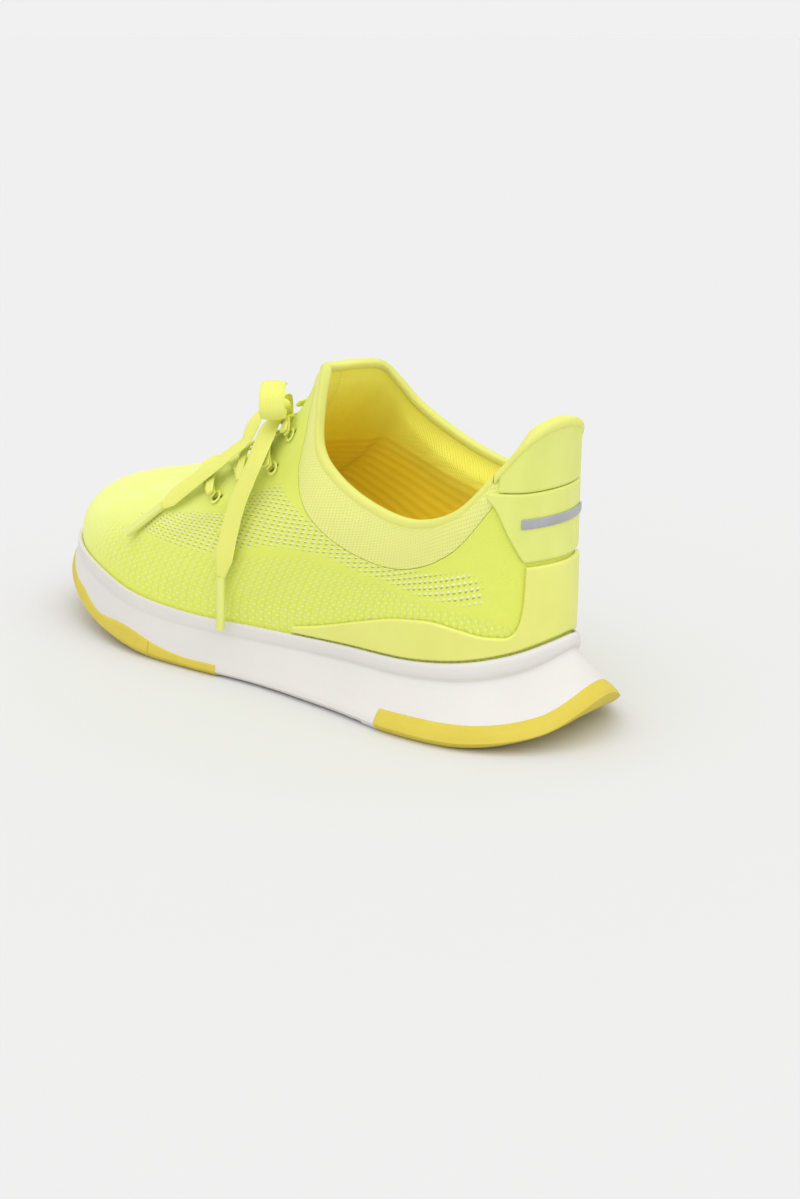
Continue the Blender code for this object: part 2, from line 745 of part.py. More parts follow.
def knit_rows(station):
    """Rows of the knitted shell, closer together round the toe and the foot."""
    return np.array(KNIT_ROWS) * (seam_run(station) - GAP / 2)


def make_knit():
    """The outer shell: the knitted upper and, above the collar seam, the finer collar knit."""
    through_knit = constant(0), constant(KNIT_THICKNESS)
    plate("upper_knit", ALL_ROUND, knit_rows, *through_knit, knit(), closed=True)
    collar_rows = even_rows(lambda s: seam_run(s) + GAP / 2, under_binding, 3)
    plate("collar_mesh", ALL_ROUND, collar_rows, *through_knit, mesh_knit(), closed=True)


def foam_run(station):
    """Run at the lower edge of the collar padding."""
    return topline_run(station, foam_distance(station))


foam_rows = even_rows(foam_run, under_binding, 4)


def lining_rows(station):
    """Rows of the lining: a few below the padding, then the padding's own rows."""
    low = max(topline_run(station, lining_distance(station)), foot_of_upper(station))
    below = np.linspace(low, foam_run(station), 3)
    return np.concatenate([below[:-1], foam_rows(station)])


def make_lining():
    """Collar padding, heel cup and the lining that covers them."""
    rear = np.arange(4.0, 18.01, 1 / SPAN)
    cup = np.arange(6.34, 15.7, 1 / SPAN)
    inside_knit = constant(KNIT_THICKNESS + GAP)
    inside_padding = lambda station, run: KNIT_THICKNESS + padding_depth(station, run)
    plate("collar_foam", rear, foam_rows, inside_knit, inside_padding, padding())
    cup_rows = even_rows(foot_of_upper, lambda s: foam_run(s) - GAP, 3)
    inside_cup = constant(KNIT_THICKNESS + GAP + COUNTER_THICKNESS)
    plate("heel_counter", cup, cup_rows, inside_knit, inside_cup, stiffener())
    plate("collar_lining", ALL_ROUND, lining_rows, lining_outer, lining_inner, lining_fabric(), closed=True)


def make_toe_puff():
    """Thin stiffener inside the toe cap."""
    front = np.arange(-2.34, 2.35, 1 / SPAN)
    plate("toe_puff", front, lambda s: knit_rows(s)[PUFF_ROWS], constant(KNIT_THICKNESS + GAP),
          constant(KNIT_THICKNESS + GAP + PUFF_THICKNESS), stiffener())


def with_lines(stations):
    """The stations given and every sampled line between them."""
    first, last = math.ceil(min(stations) * SPAN), math.floor(max(stations) * SPAN)
    lines = [line / SPAN for line in range(first, last + 1)]
    extra = [place for place in stations if min(abs(place - line) for line in lines) > CLOSEST_STATIONS]
    return np.array(sorted(lines + extra))


def mirrored_stations(half):
    """Stations on the lateral side up to the heel, and the same ones back up the medial side."""
    half = [station for station in sorted(half) if station < HEEL]
    return with_lines(half + [HEEL] + [2 * HEEL - station for station in half])


def rim_run(station):
    """Run at which the upper leaves the foam cup."""
    at = station * SPAN
    low = int(math.floor(at))
    heights = RIM_HEIGHT[low % SAMPLES], RIM_HEIGHT[(low + 1) % SAMPLES]
    height = heights[0] + (heights[1] - heights[0]) * (at - low)
    return run_at_height(station, height + 3 * GAP)


def fold_run(station):
    """Run at the fold line between the heel panel and the pull tab."""
    return run_at_height(station, FOLD_LINE * MM * TALL)


def make_heel_overlays():
    """Moulded wrap with its side wings, the film panel above it, the pull tab and the reflector."""
    on_knit = constant(-GAP)
    on_panel = -GAP - PANEL_THICKNESS - GAP
    wing_top = station_value(WING_EDGE)
    wing_stations = [place for place, height in WING_EDGE]
    wing_edge = lambda s: max(run_at_height(s, wing_top(s) * TALL), rim_run(s) + WING_TIP_HEIGHT)
    wing_rows = even_rows(rim_run, wing_edge, 3)
    plate("heel_overlay", mirrored_stations(wing_stations), wing_rows,
          constant(-GAP - OVERLAY_THICKNESS), on_knit, overlay_plastic())
    panel_foot = station_value(PANEL_EDGE)
    panel_stations = [place for place, height in PANEL_EDGE]
    panel_rows = even_rows(lambda s: run_at_height(s, panel_foot(s) * TALL), lambda s: fold_run(s) - GAP, 3)
    outside = constant(-GAP - PANEL_THICKNESS)
    plate("heel_panel", mirrored_stations(panel_stations), panel_rows, outside, on_knit, film())
    tab_rows = even_rows(fold_run, under_binding, 3)
    plate("heel_tab", mirrored_stations([TAB_START]), tab_rows, outside, on_knit, film())
    strip_middle = lambda s: run_at_height(s, REFLECTOR_MIDDLE * MM * TALL)
    strip_rows = even_rows(lambda s: strip_middle(s) - REFLECTOR_HEIGHT / 2,
                           lambda s: strip_middle(s) + REFLECTOR_HEIGHT / 2, 1)
    plate("heel_reflector", with_lines(REFLECTOR_ENDS), strip_rows,
          constant(on_panel - REFLECTOR_THICKNESS), constant(on_panel), reflective())


def make_bindings():
    """The bound edge of the opening, and the thicker one round the heel tab."""
    inside = lambda station, run: lining_inner(station, run) + BINDING_PROUD
    edge_rows = even_rows(lambda s: topline_run(s, BINDING_HEIGHT), line_length, 1)
    opening = with_lines((BINDING_JOIN - TAB_BINDING_START, TAB_BINDING_START - BINDING_JOIN))
    plate("topline_binding", opening, edge_rows, constant(-BINDING_PROUD), inside, binding())
    tab = with_lines((TAB_BINDING_START, 2 * HEEL - TAB_BINDING_START))
    over_tab = constant(-GAP - PANEL_THICKNESS - BINDING_PROUD)
    plate("heel_tab_binding", tab, edge_rows, over_tab, inside, binding())


# Lacing

def unit(vectors):
    """The vectors at a length of one."""
    return vectors / np.linalg.norm(vectors, axis=-1, keepdims=True)


def ribbon(name, route, across, widths, thickness, finish):
    """A flat strip along a route, with the way its width runs and its width at each point."""
    route = np.array(route, float)
    along = np.gradient(route, axis=0)
    across = unit(np.broadcast_to(across, route.shape))
    up = unit(np.cross(across, along))
    widths = np.broadcast_to(widths, (len(route),))
    solid = Solid()
    rows = []
    for place, side, rise, width in zip(route, across, up, widths):
        half_side = side * width / 2
        half_rise = rise * thickness / 2
        rows.append(solid.add([place - half_side - half_rise, place + half_side - half_rise,
                               place + half_side + half_rise, place - half_side + half_rise]))
    for first, second in zip(rows, rows[1:]):
        solid.bridge(first, second)
    solid.faces += [tuple(rows[0]), tuple(rows[-1])]
    return make_object(name, solid.points, solid.faces, finish)


def over_upper(start, end, heights, bend):
    """Points and outward vectors between two places on the upper, at heights above it, bent towards the toe."""
    places = np.linspace(start, end, len(heights))
    places[:, 1] -= np.sin(np.linspace(0, math.pi, len(heights))) * bend
    spots = [surface(station, share * line_length(station)) for station, share in places]
    points = np.array([point + normal * height for (point, normal), height in zip(spots, heights)])
    return points, np.array([normal for point, normal in spots])


def strip_over_upper(name, start, end, heights, bend=0.0):
    """A stretch of bunched lace over the upper, with its heights at even steps along it."""
    route, normals = over_upper(start, end, heights, bend)
    across = np.cross(normals, np.gradient(route, axis=0))
    return ribbon(name, route, across, CROSSING_WIDTH, LACE_THICKNESS, lace_yarn())


def medial(place):
    """The same place on the other side of the shoe."""
    return -place[0], place[1]


def make_eyelets():
    """A flat ring round each lace hole."""
    turns = np.arange(EYELET_SIDES) / EYELET_SIDES * 2 * math.pi
    for row, eyelet in enumerate(EYELETS, 1):
        for side, place in (("lateral", eyelet), ("medial", medial(eyelet))):
            station, share = place
            middle, normal = surface(station, share * line_length(station))
            ahead = unit(np.cross(normal, (1.0, 0.0, 0.0)))
            aside = np.cross(ahead, normal)
            circle = np.outer(np.cos(turns), ahead) + np.outer(np.sin(turns), aside)
            low = middle + normal * EYELET_LIFT
            high = low + normal * EYELET_THICKNESS
            solid = Solid()
            rings = [solid.add(low + circle * EYELET_RADIUS), solid.add(high + circle * EYELET_RADIUS),
                     solid.add(high + circle * EYELET_HOLE_RADIUS), solid.add(low + circle * EYELET_HOLE_RADIUS)]
            for first, second in zip(rings, rings[1:] + rings[:1]):
                solid.bridge(first, second)
            make_object(f"eyelet_{side}_{row}", solid.points, solid.faces, eyelet_film())


def make_lacing():
    """The bar at the first row, a crossing pair between each two rows, and the lace up to the knot."""
    second = LACE_LOW + LACE_STEP
    third = second + LACE_STEP
    share = np.linspace(0, 1, 14)
    strip_over_upper("lace_bar", EYELETS[0], medial(EYELETS[0]), np.full(14, LACE_LOW), BAR_BEND)
    for row, (here, beyond, drop) in enumerate(zip(EYELETS, EYELETS[1:], CROSSING_DROPS), 1):
        under = np.interp(share, drop, (second, LACE_LOW))
        over = np.interp(share, (1 - drop[1], 1 - drop[0]), (second, LACE_LOW))
        strip_over_upper(f"lace_over_{row}", here, medial(beyond), over)
        strip_over_upper(f"lace_under_{row}", medial(here), beyond, under)
    strip_over_upper("lace_tie_lateral", EYELETS[-1], TIE_ENDS[0], np.full(5, second))
    rising = np.interp(np.linspace(0, 1, 9), (0, 0.4), (second, third))
    strip_over_upper("lace_tie_medial", medial(EYELETS[-1]), TIE_ENDS[1], rising)


def knot_middle():
    """Centre of the knot, above the lace that it closes."""
    station, share = KNOT_PLACE
    point, normal = surface(station, share * line_length(station))
    return point + normal * KNOT_LIFT


def make_bow():
    """The knot and the two loops beside it."""
    middle = knot_middle()
    shape = bmesh.new()
    bmesh.ops.create_icosphere(shape, subdivisions=2, radius=0.5)
    points = [np.array(vertex.co) * (KNOT_LENGTH, KNOT_WIDTH, KNOT_HEIGHT) + middle for vertex in shape.verts]
    faces = [[vertex.index for vertex in face.verts] for face in shape.faces]
    shape.free()
    make_object("lace_knot", points, faces, lace_yarn())
    for name, (heading, loop) in BOW_LOOPS.items():
        route = [middle + np.array((heading[0] * out, heading[1] * out, up)) * MM for out, up in loop]
        widths = np.interp(np.linspace(0, 1, len(route)), (0, 0.15, 0.85, 1), (0.5, 1, 1, 0.5)) * LACE_WIDTH
        ribbon(name, route, (heading[1], -heading[0], 0), widths, LACE_THICKNESS, lace_yarn())


def make_free_end(name, tip_name, points, tip, facing):
    """One free end of the lace with its tip; the strip narrows at the knot and into the tip."""
    scale = np.array((WIDE, LONG, TALL)) * MM
    route = np.array(points) * scale
    share = np.linspace(0, 1, len(route))
    ways = np.outer(1 - share, facing[0]) + np.outer(share, facing[1])
    across = np.cross(ways, np.gradient(route, axis=0))
    widths = np.interp(share, (0, 0.15, 0.85, 1), (0.6, 1, 1, 0.45)) * LACE_WIDTH
    ribbon(name, route, across, widths, LACE_THICKNESS, lace_yarn())
    way = unit(np.array(tip) * scale - route[-1])
    tip_route = [route[-1] + way * GAP * 2, np.array(tip) * scale]
    ribbon(tip_name, tip_route, across[-1], AGLET_WIDTH, AGLET_THICKNESS, lace_tip())


def make_lace():
    make_eyelets()
    make_lacing()
    make_bow()
    make_free_end("lace_end_front", "aglet_front", FRONT_END, FRONT_TIP, FRONT_FACING)
    make_free_end("lace_end_side", "aglet_side", SIDE_END, SIDE_TIP, SIDE_FACING)


def clear_scene():
    for thing in list(bpy.data.objects):
        bpy.data.objects.remove(thing, do_unlink=True)


def main():
    clear_scene()
    make_midsole(make_outsole())
    make_bottom_sheets()
    make_knit()
    make_lining()
    make_toe_puff()
    make_heel_overlays()
    make_bindings()
    make_lace()


main()
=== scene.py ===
# %% [markdown]
# # A left running shoe, from frame to finish
# The shoe is a knitted sock-like upper, lasted into a flared foam midsole with rubber pads under it.
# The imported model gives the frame: its bodies, its nodes and its sizes, all in metres. Each piece
# made here stands for one or more of those nodes, and rides on a body or bends between the two.

# %% Frame
import math

import bmesh
import bpy
import numpy as np
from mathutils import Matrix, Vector


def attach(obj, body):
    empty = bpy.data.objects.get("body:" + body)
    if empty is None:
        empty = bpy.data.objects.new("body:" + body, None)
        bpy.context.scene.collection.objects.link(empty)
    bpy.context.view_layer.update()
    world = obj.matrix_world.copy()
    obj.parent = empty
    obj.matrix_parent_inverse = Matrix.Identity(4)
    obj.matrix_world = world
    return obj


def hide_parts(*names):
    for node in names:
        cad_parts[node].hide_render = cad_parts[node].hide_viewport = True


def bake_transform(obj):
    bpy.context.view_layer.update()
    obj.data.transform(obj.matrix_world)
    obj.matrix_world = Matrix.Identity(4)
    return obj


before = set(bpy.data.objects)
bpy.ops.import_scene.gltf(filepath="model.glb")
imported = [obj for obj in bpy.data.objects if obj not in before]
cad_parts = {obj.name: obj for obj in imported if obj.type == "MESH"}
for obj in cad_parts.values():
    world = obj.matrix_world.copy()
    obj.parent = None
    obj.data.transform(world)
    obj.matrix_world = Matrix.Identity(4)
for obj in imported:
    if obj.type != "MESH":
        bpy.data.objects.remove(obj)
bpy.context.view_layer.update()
MM = 0.001

# %% [markdown]
# ## Camera
# A long lens looks down a little on the shoe from its outer rear quarter. It is aimed beside the
# shoe, which stands left of the middle of the frame.

# %% Camera
CAMERA_TURN = math.radians(-49.6954)
CAMERA_RISE = math.radians(17.4443)
CAMERA_TARGET = Vector((0.218134, 0.141012, -0.056866))
back = Vector((math.sin(CAMERA_TURN) * math.cos(CAMERA_RISE),
               -math.cos(CAMERA_TURN) * math.cos(CAMERA_RISE), math.sin(CAMERA_RISE)))
camera = bpy.data.objects.new("camera", bpy.data.cameras.new("camera"))
bpy.context.scene.collection.objects.link(camera)
camera.location = CAMERA_TARGET + back
camera.rotation_euler = (-back).to_track_quat("-Z", "Y").to_euler()
camera.data.sensor_fit = "VERTICAL"
camera.data.sensor_height = 36
camera.data.lens = 54.46
camera.data.clip_start = 0.01
bpy.context.scene.camera = camera
print("camera at", [round(value, 3) for value in camera.location])

# %% [markdown]
# ## Meshes from grids
# Most pieces of a shoe are sheets: knit, film, lining, binding. Each is made as a grid of points
# on its outer face and one on its inner face, joined round the edges into one closed sheet. Every
# point keeps its own place on the flat cloth, in metres, for the weave to follow when it bends.

# %% Grid helpers
def unit(vectors):
    """The vectors at a length of one."""
    return vectors / np.maximum(np.linalg.norm(vectors, axis=-1, keepdims=True), 1e-12)


def grid_faces(rows, columns, first=0, closed=False, flip=False):
    """Four-sided faces of a grid of points stored row by row; closed joins the last row to the first."""
    index = np.arange(rows * columns).reshape(rows, columns) + first
    if closed:
        index = np.vstack([index, index[:1]])
    a, b, c, d = index[:-1, :-1], index[1:, :-1], index[1:, 1:], index[:-1, 1:]
    faces = np.stack([a, b, c, d], -1).reshape(-1, 4)
    return faces[:, ::-1] if flip else faces


def make_mesh(name, points, faces, material, cloth=None, masks=None, sharp=50):
    """A mesh object, shaded smooth, with its cloth places and masks kept as attributes."""
    mesh = bpy.data.meshes.new(name)
    if not isinstance(faces, list):
        faces = [tuple(face) for face in faces.tolist()]
    mesh.from_pydata(np.asarray(points).tolist(), [], faces)
    if cloth is not None:
        layer = mesh.attributes.new("cloth", "FLOAT_VECTOR", "POINT")
        layer.data.foreach_set("vector", np.asarray(cloth, np.float32).ravel())
    for mask, values in (masks or {}).items():
        layer = mesh.attributes.new(mask, "FLOAT", "POINT")
        layer.data.foreach_set("value", np.asarray(values, np.float32).ravel())
    shape = bmesh.new()
    shape.from_mesh(mesh)
    bmesh.ops.recalc_face_normals(shape, faces=shape.faces)
    shape.to_mesh(mesh)
    shape.free()
    mesh.shade_smooth()
    mesh.set_sharp_from_angle(angle=math.radians(sharp))
    mesh.materials.append(material)
    made = bpy.data.objects.new(name, mesh)
    bpy.context.scene.collection.objects.link(made)
    return made


def make_sheet(name, outer, inner, material, cloth, masks=None, closed=False, sharp=50):
    """A closed sheet from its outer and inner grids, each of shape (columns, rows, 3)."""
    columns, rows = outer.shape[:2]
    count = columns * rows
    points = np.concatenate([outer.reshape(-1, 3), inner.reshape(-1, 3)])
    faces = [grid_faces(columns, rows, closed=closed), grid_faces(columns, rows, count, closed, flip=True)]
    index = np.arange(count).reshape(columns, rows)
    edges = [index[:, 0], index[:, -1]] if closed else [
        np.concatenate([index[:, 0], index[-1, 1:], index[-2::-1, -1], index[0, -2:0:-1]])]
    for edge in edges:
        ahead = np.roll(edge, -1)
        faces.append(np.stack([edge, ahead, ahead + count, edge + count], -1))
    flat = np.concatenate([cloth, np.zeros(cloth.shape[:2] + (1,))], -1).reshape(-1, 3)
    doubled = {mask: np.concatenate([values.ravel()] * 2) for mask, values in (masks or {}).items()}
    flat = np.concatenate([flat, flat])
    return make_mesh(name, points, np.concatenate(faces), material, flat, doubled, sharp)


# %% [markdown]
# ## Finishes as sums
# A finish is easier to read as a sum than as a web of nodes. The class below wraps the output of
# a shader node, so that adding or multiplying two values places the maths nodes that do it.

# %% Shader helpers
class Value:
    """One varying number or colour inside a finish."""

    def __init__(self, finish, socket):
        self.finish = finish
        self.socket = socket

    def maths(self, operation, first, second=0.0):
        return self.finish.node("ShaderNodeMath", {"operation": operation}, {0: first, 1: second})

    def __add__(self, other):
        return self.maths("ADD", self, other)

    def __sub__(self, other):
        return self.maths("SUBTRACT", self, other)

    def __rsub__(self, other):
        return self.maths("SUBTRACT", other, self)

    def __mul__(self, other):
        return self.maths("MULTIPLY", self, other)

    def __truediv__(self, other):
        return self.maths("DIVIDE", self, other)

    __radd__ = __add__
    __rmul__ = __mul__

    def floor(self):
        return self.maths("FLOOR", self)

    def fraction(self):
        return self.maths("FRACT", self)

    def sine(self):
        return self.maths("SINE", self)

    def size(self):
        return self.maths("ABSOLUTE", self)

    def root(self):
        return self.maths("SQRT", self)

    def step(self, low, high):
        """Smooth step from 0 at low to 1 at high."""
        settings = {"interpolation_type": "SMOOTHSTEP"}
        return self.finish.node("ShaderNodeMapRange", settings, {0: self, 1: low, 2: high, 3: 0.0, 4: 1.0})


class Finish:
    """A material with one Principled shader, built up by expressions."""

    def __init__(self, name, colour, roughness, **shader):
        self.material = bpy.data.materials.new(name)
        self.material.use_nodes = True
        self.tree = self.material.node_tree
        self.shader = self.tree.nodes["Principled BSDF"]
        self.shader.inputs["Base Color"].default_value = (*colour, 1)
        self.shader.inputs["Roughness"].default_value = roughness
        for socket, value in shader.items():
            self.shader.inputs[socket.replace("_", " ")].default_value = value
        print("finish", name)

    def node(self, kind, settings=None, inputs=None, output=0):
        """Any node, from its type, its settings and the values or links of its sockets."""
        made = self.tree.nodes.new(kind)
        for setting, value in (settings or {}).items():
            if setting == "stops":
                while len(made.color_ramp.elements) < len(value):
                    made.color_ramp.elements.new(0.5)
                for element, (place, colour) in zip(made.color_ramp.elements, value):
                    element.position = place
                    element.color = (*colour, 1)
            else:
                setattr(made, setting, value)
        for socket, value in (inputs or {}).items():
            if isinstance(value, Value):
                self.tree.links.new(value.socket, made.inputs[socket])
            else:
                made.inputs[socket].default_value = value
        return Value(self, made.outputs[output])

    def attribute(self, name, output="Fac"):
        return self.node("ShaderNodeAttribute", {"attribute_name": name}, output=output)

    def cloth(self):
        """Places on the flat cloth, in millimetres: along and up."""
        place = self.attribute("cloth", "Vector")
        split = self.tree.nodes.new("ShaderNodeSeparateXYZ")
        self.tree.links.new(place.socket, split.inputs[0])
        return Value(self, split.outputs[0]) * 1000.0, Value(self, split.outputs[1]) * 1000.0

    def noise(self, scale, detail=2.0, roughness=0.5, vector=None, stretch=None):
        """Cloudy values round 0.5; scale is in features per metre."""
        vector = vector or self.attribute("cloth", "Vector")
        if stretch:
            vector = self.node("ShaderNodeVectorMath", {"operation": "MULTIPLY"}, {0: vector, 1: stretch})
        return self.node("ShaderNodeTexNoise", None, {"Vector": vector, "Scale": scale, "Detail": detail,
                                                      "Roughness": roughness})

    def blend(self, share, first, second):
        """Colour between two colours, by a share from 0 to 1."""
        inputs = {0: share}
        for socket, colour in ((6, first), (7, second)):
            inputs[socket] = colour if isinstance(colour, Value) else (*colour, 1)
        return self.node("ShaderNodeMix", {"data_type": "RGBA"}, inputs, output=2)

    def feed(self, socket, value):
        self.tree.links.new(value.socket, self.shader.inputs[socket])

    def relief(self, height, depth, strength=1.0):
        """Height of the surface, from 0 to 1, as bumps of a depth in metres."""
        bump = self.node("ShaderNodeBump", None, {"Height": height, "Distance": depth, "Strength": strength})
        self.feed("Normal", bump)


def lattice(along, up, wide, tall):
    """Distance from the nearest point of a staggered lattice, in its own units."""
    row = up / tall
    line = row.floor()
    shift = (line * 0.5).fraction()
    across = ((along / wide + shift).fraction() - 0.5) * wide
    over = (row.fraction() - 0.5) * tall
    return (across * across + over * over).root(), over


# %% [markdown]
# ## Outlines
# A last-maker describes a shoe by stations: places round it where the widths and heights are
# given. A smooth closed curve through the stations gives every place between them. Numbers are
# in millimetres, as on a drawing, and stations run from the toe round the outer side to the heel
# and back along the inner side.

# %% Stations
SOLE_LATERAL = [(6, 140.5), (-12, 134), (-28.5, 115.5), (-40.5, 90), (-47, 61), (-46, 29),
                (-43, -6), (-44.5, -43), (-47.5, -80), (-42.5, -110), (-26, -132), (0, -140.5)]
SOLE_MEDIAL = [(24, 133), (38, 116), (46, 91), (48, 61), (43, 29),
               (37, -6), (38, -43), (41.5, -80), (38, -108), (22.5, -131)]
RIM_LATERAL = [33, 33, 32.5, 30, 25.5, 22.8, 22.8, 24, 25.3, 29, 33.5, 36.5]
RIM_MEDIAL = [33, 32.5, 30, 26, 24.5, 25.5, 26.5, 27, 29.5, 33.5]
WIDEST_LINE = [23, 21, 15, 8, 4, 2.5, 2.5, 3, 3, 3.5, 8, 17.5]
RUBBER_EDGE = [27, 24, 19.5, 12, 9.5, 4.5, 4.5, 5, 5.5, 6.5, 12, 21.5]
RIM_INSET = [3, 3, 3, 2.8, 2.5, 3, 5, 9, 12.5, 14.5, 15.8, 15.8]
GROUND_INSET = [7, 7, 6, 4.5, 3, 2.5, 2.5, 2.5, 2.5, 4, 7, 8]
ROCKER = [(-142.5, 15), (-134, 9), (-125, 4.5), (-113, 1), (-100, 0), (45, 0), (62, 1.2),
          (80, 4.5), (100, 9.5), (120, 15.5), (142.5, 22)]
TOPLINE_LATERAL = [(1, -12, 122.5), (-10, -15, 123.5), (-18, -22, 123), (-24, -25.5, 112),
                   (-28.5, -29.5, 96), (-31.5, -42, 86.5), (-33, -60, 79.5), (-33.5, -79, 77.3),
                   (-30, -95, 83), (-21.5, -107, 98), (-14, -116, 111), (0, -118.5, 114.5)]
TOPLINE_MEDIAL = [(13, -13, 122), (22, -17, 120.5), (27, -22, 114), (30.5, -30, 105),
                  (32.5, -43, 97), (33, -60, 90), (33, -78, 86), (29.5, -94, 89), (21.5, -107, 100),
                  (14, -115.5, 111)]
FOOT_LEAN = [9, 8, 6, 6, 4, 3, 3, 4, 3.5, 2.5, 1.5, 0.7]
FOOT_RISE = [52, 46, 40, 32, 24, 20, 18, 18, 20, 22, 25, 25]
TOP_ARRIVAL = [(0, 29, -73), (3, 29, -74), (8, 28, -71), (11, 25, -59), (4, 20, -32), (4, 12, -24),
               (1.5, 6, -20), (0, 3, -20), (1, 0, -20), (3, -1, -28), (1, 2.5, -30), (0, 3.5, -30)]
COLLAR_SEAM = [10, 10, 10, 11, 15, 21, 23, 22, 17, 12, 12, 12]
STATIONS = 22
HEEL = 11
THIRD = 1 / 3


def both_sides(lateral, medial=None):
    """One value or point per station round the shoe; the medial side mirrors the lateral one unless given."""
    lateral = np.array(lateral, float)
    if medial is None:
        medial = lateral[1:-1].copy()
        if medial.ndim == 2:
            medial[:, 0] *= -1
    return np.concatenate([lateral, np.array(medial, float)[::-1]])


def curve_at(stations, at):
    """Places on the smooth closed curve through the stations."""
    low = np.floor(at).astype(int)
    t = at - low
    before, here, after, beyond = (stations[(low + step) % STATIONS] for step in (-1, 0, 1, 2))
    if stations.ndim == 2:
        t = t[:, None]
    square = 2 * before - 5 * here + 4 * after - beyond
    cube = 3 * here - before - 3 * after + beyond
    return here + 0.5 * ((after - before) * t + square * t ** 2 + cube * t ** 3)


def table_at(table, at):
    """Value at places along a table of (place, value) pairs, on a smooth curve that never overshoots."""
    places, values = np.array(table, float).T
    steps = np.diff(values) / np.diff(places)
    before, after = steps[:-1], steps[1:]
    turning = before * after <= 0
    total = np.where(turning, 1.0, before + after)
    slopes = np.concatenate([steps[:1], np.where(turning, 0.0, 2 * before * after / total), steps[-1:]])
    at = np.clip(at, places[0], places[-1])
    i = np.clip(np.searchsorted(places, at) - 1, 0, len(places) - 2)
    width = places[i + 1] - places[i]
    t = (at - places[i]) / width
    start = (1 + 2 * t) * (1 - t) ** 2 * values[i] + t * (1 - t) ** 2 * width * slopes[i]
    end = t ** 2 * (3 - 2 * t) * values[i + 1] + t ** 2 * (t - 1) * width * slopes[i + 1]
    return start + end


def mirrored(at):
    """The same station on the lateral side."""
    at = np.mod(at, STATIONS)
    return np.where(at <= HEEL, at, 2 * HEEL - at)


def side_value(values, at):
    """One value per station, the same on both sides, in metres."""
    return table_at(list(enumerate(values)), mirrored(at)) * MM


def fade(value, start, end):
    """Smooth step from 0 at start to 1 at end."""
    t = np.clip((value - start) / (end - start), 0, 1)
    return t * t * (3 - 2 * t)


SOLE = both_sides(SOLE_LATERAL, SOLE_MEDIAL) * MM
drawn = curve_at(SOLE, np.arange(STATIONS * 3) * THIRD)
SOLE = SOLE - (drawn.min(0) + drawn.max(0)) / 2
RIM = both_sides(RIM_LATERAL, RIM_MEDIAL) * MM
WIDEST = both_sides(WIDEST_LINE) * MM
RUBBER_TOP = both_sides(RUBBER_EDGE) * MM
RIM_IN = both_sides(RIM_INSET) * MM
GROUND_IN = both_sides(GROUND_INSET) * MM
TOPLINE = both_sides(TOPLINE_LATERAL, TOPLINE_MEDIAL) * MM
print("sole", len(SOLE), "stations")


def rocker(y):
    """Height of the ground face under a place along the shoe."""
    return table_at(ROCKER, y / MM) * MM


def sole_ring(at, inset, height):
    """The sole's outline drawn in by inset, at a height given as numbers or by place along the shoe."""
    along = curve_at(SOLE, at + THIRD) - curve_at(SOLE, at - THIRD)
    outwards = unit(np.stack([along[:, 1], -along[:, 0]], 1))
    flat = curve_at(SOLE, at) - outwards * np.broadcast_to(inset, at.shape)[:, None]
    height = height(flat[:, 1]) if callable(height) else np.broadcast_to(height, at.shape)
    return np.column_stack([flat, height])


# %% [markdown]
# ## The surface of the upper
# From each place round the sole one line runs up to the edge of the collar. The lines make one
# smooth surface, and every layer of the upper is that surface moved in or out a little.

# %% Upper surface
GAP = 0.0003
FOOTBED_INSET = 0.0022
FOOTBED_DEPTH = 0.005
LINE_POINTS = 60


def upper_lines(at):
    """The lines of the upper at places round the shoe, each as LINE_POINTS points."""
    inset = curve_at(RIM_IN, at) + FOOTBED_INSET + GAP
    start = sole_ring(at, inset, curve_at(RIM, at) - FOOTBED_DEPTH + GAP)
    outer = sole_ring(at, inset - curve_at(both_sides(FOOT_LEAN), at) * MM, start[:, 2])
    outer[:, 2] += curve_at(both_sides(FOOT_RISE), at) * MM
    arrival = both_sides(np.array(TOP_ARRIVAL, float) * (-1, 1, 1)) * MM
    end = curve_at(TOPLINE, at)
    pull = end + curve_at(arrival, at)
    t = np.linspace(0, 1, LINE_POINTS)[None, :, None]
    start, outer, pull, end = (points[:, None] for points in (start, outer, pull, end))
    return (1 - t) ** 3 * start + 3 * (1 - t) ** 2 * t * outer + 3 * (1 - t) * t ** 2 * pull + t ** 3 * end


class Upper:
    """The upper's surface at a row of places round the shoe."""

    def __init__(self, at):
        self.at = np.asarray(at, float)
        self.lines = upper_lines(self.at)
        steps = np.linalg.norm(np.diff(self.lines, axis=1), axis=2)
        self.runs = np.concatenate([np.zeros((len(self.at), 1)), np.cumsum(steps, 1)], 1)
        self.length = self.runs[:, -1]
        around = upper_lines(self.at + THIRD) - upper_lines(self.at - THIRD)
        self.normals = unit(np.cross(around, np.gradient(self.lines, axis=1)))

    def place(self, runs, depth=0.0):
        """Points at distances up each line, a depth inside the surface; past its end a line runs on."""
        depth = np.broadcast_to(depth, runs.shape)
        points = np.empty(runs.shape + (3,))
        for i, run in enumerate(runs):
            normal = np.stack([np.interp(run, self.runs[i], self.normals[i, :, k]) for k in range(3)], -1)
            point = np.stack([np.interp(run, self.runs[i], self.lines[i, :, k]) for k in range(3)], -1)
            tip = unit(self.lines[i, -1] - self.lines[i, -3])
            point += np.maximum(run - self.length[i], 0)[:, None] * tip
            points[i] = point - unit(normal) * depth[i][:, None]
        return points

    def run_at_height(self, height):
        """How far up each line a height is reached."""
        height = np.broadcast_to(height, self.length.shape)
        lines = zip(height, self.lines, self.runs)
        return np.array([np.interp(level, line[:, 2], run) for level, line, run in lines])

    def around(self):
        """Distance round the shoe half way up the side, which places the cloth."""
        points = curve_at(SOLE, self.at)
        steps = np.linalg.norm(np.diff(points, axis=0), axis=1)
        return np.concatenate([[0], np.cumsum(steps)])


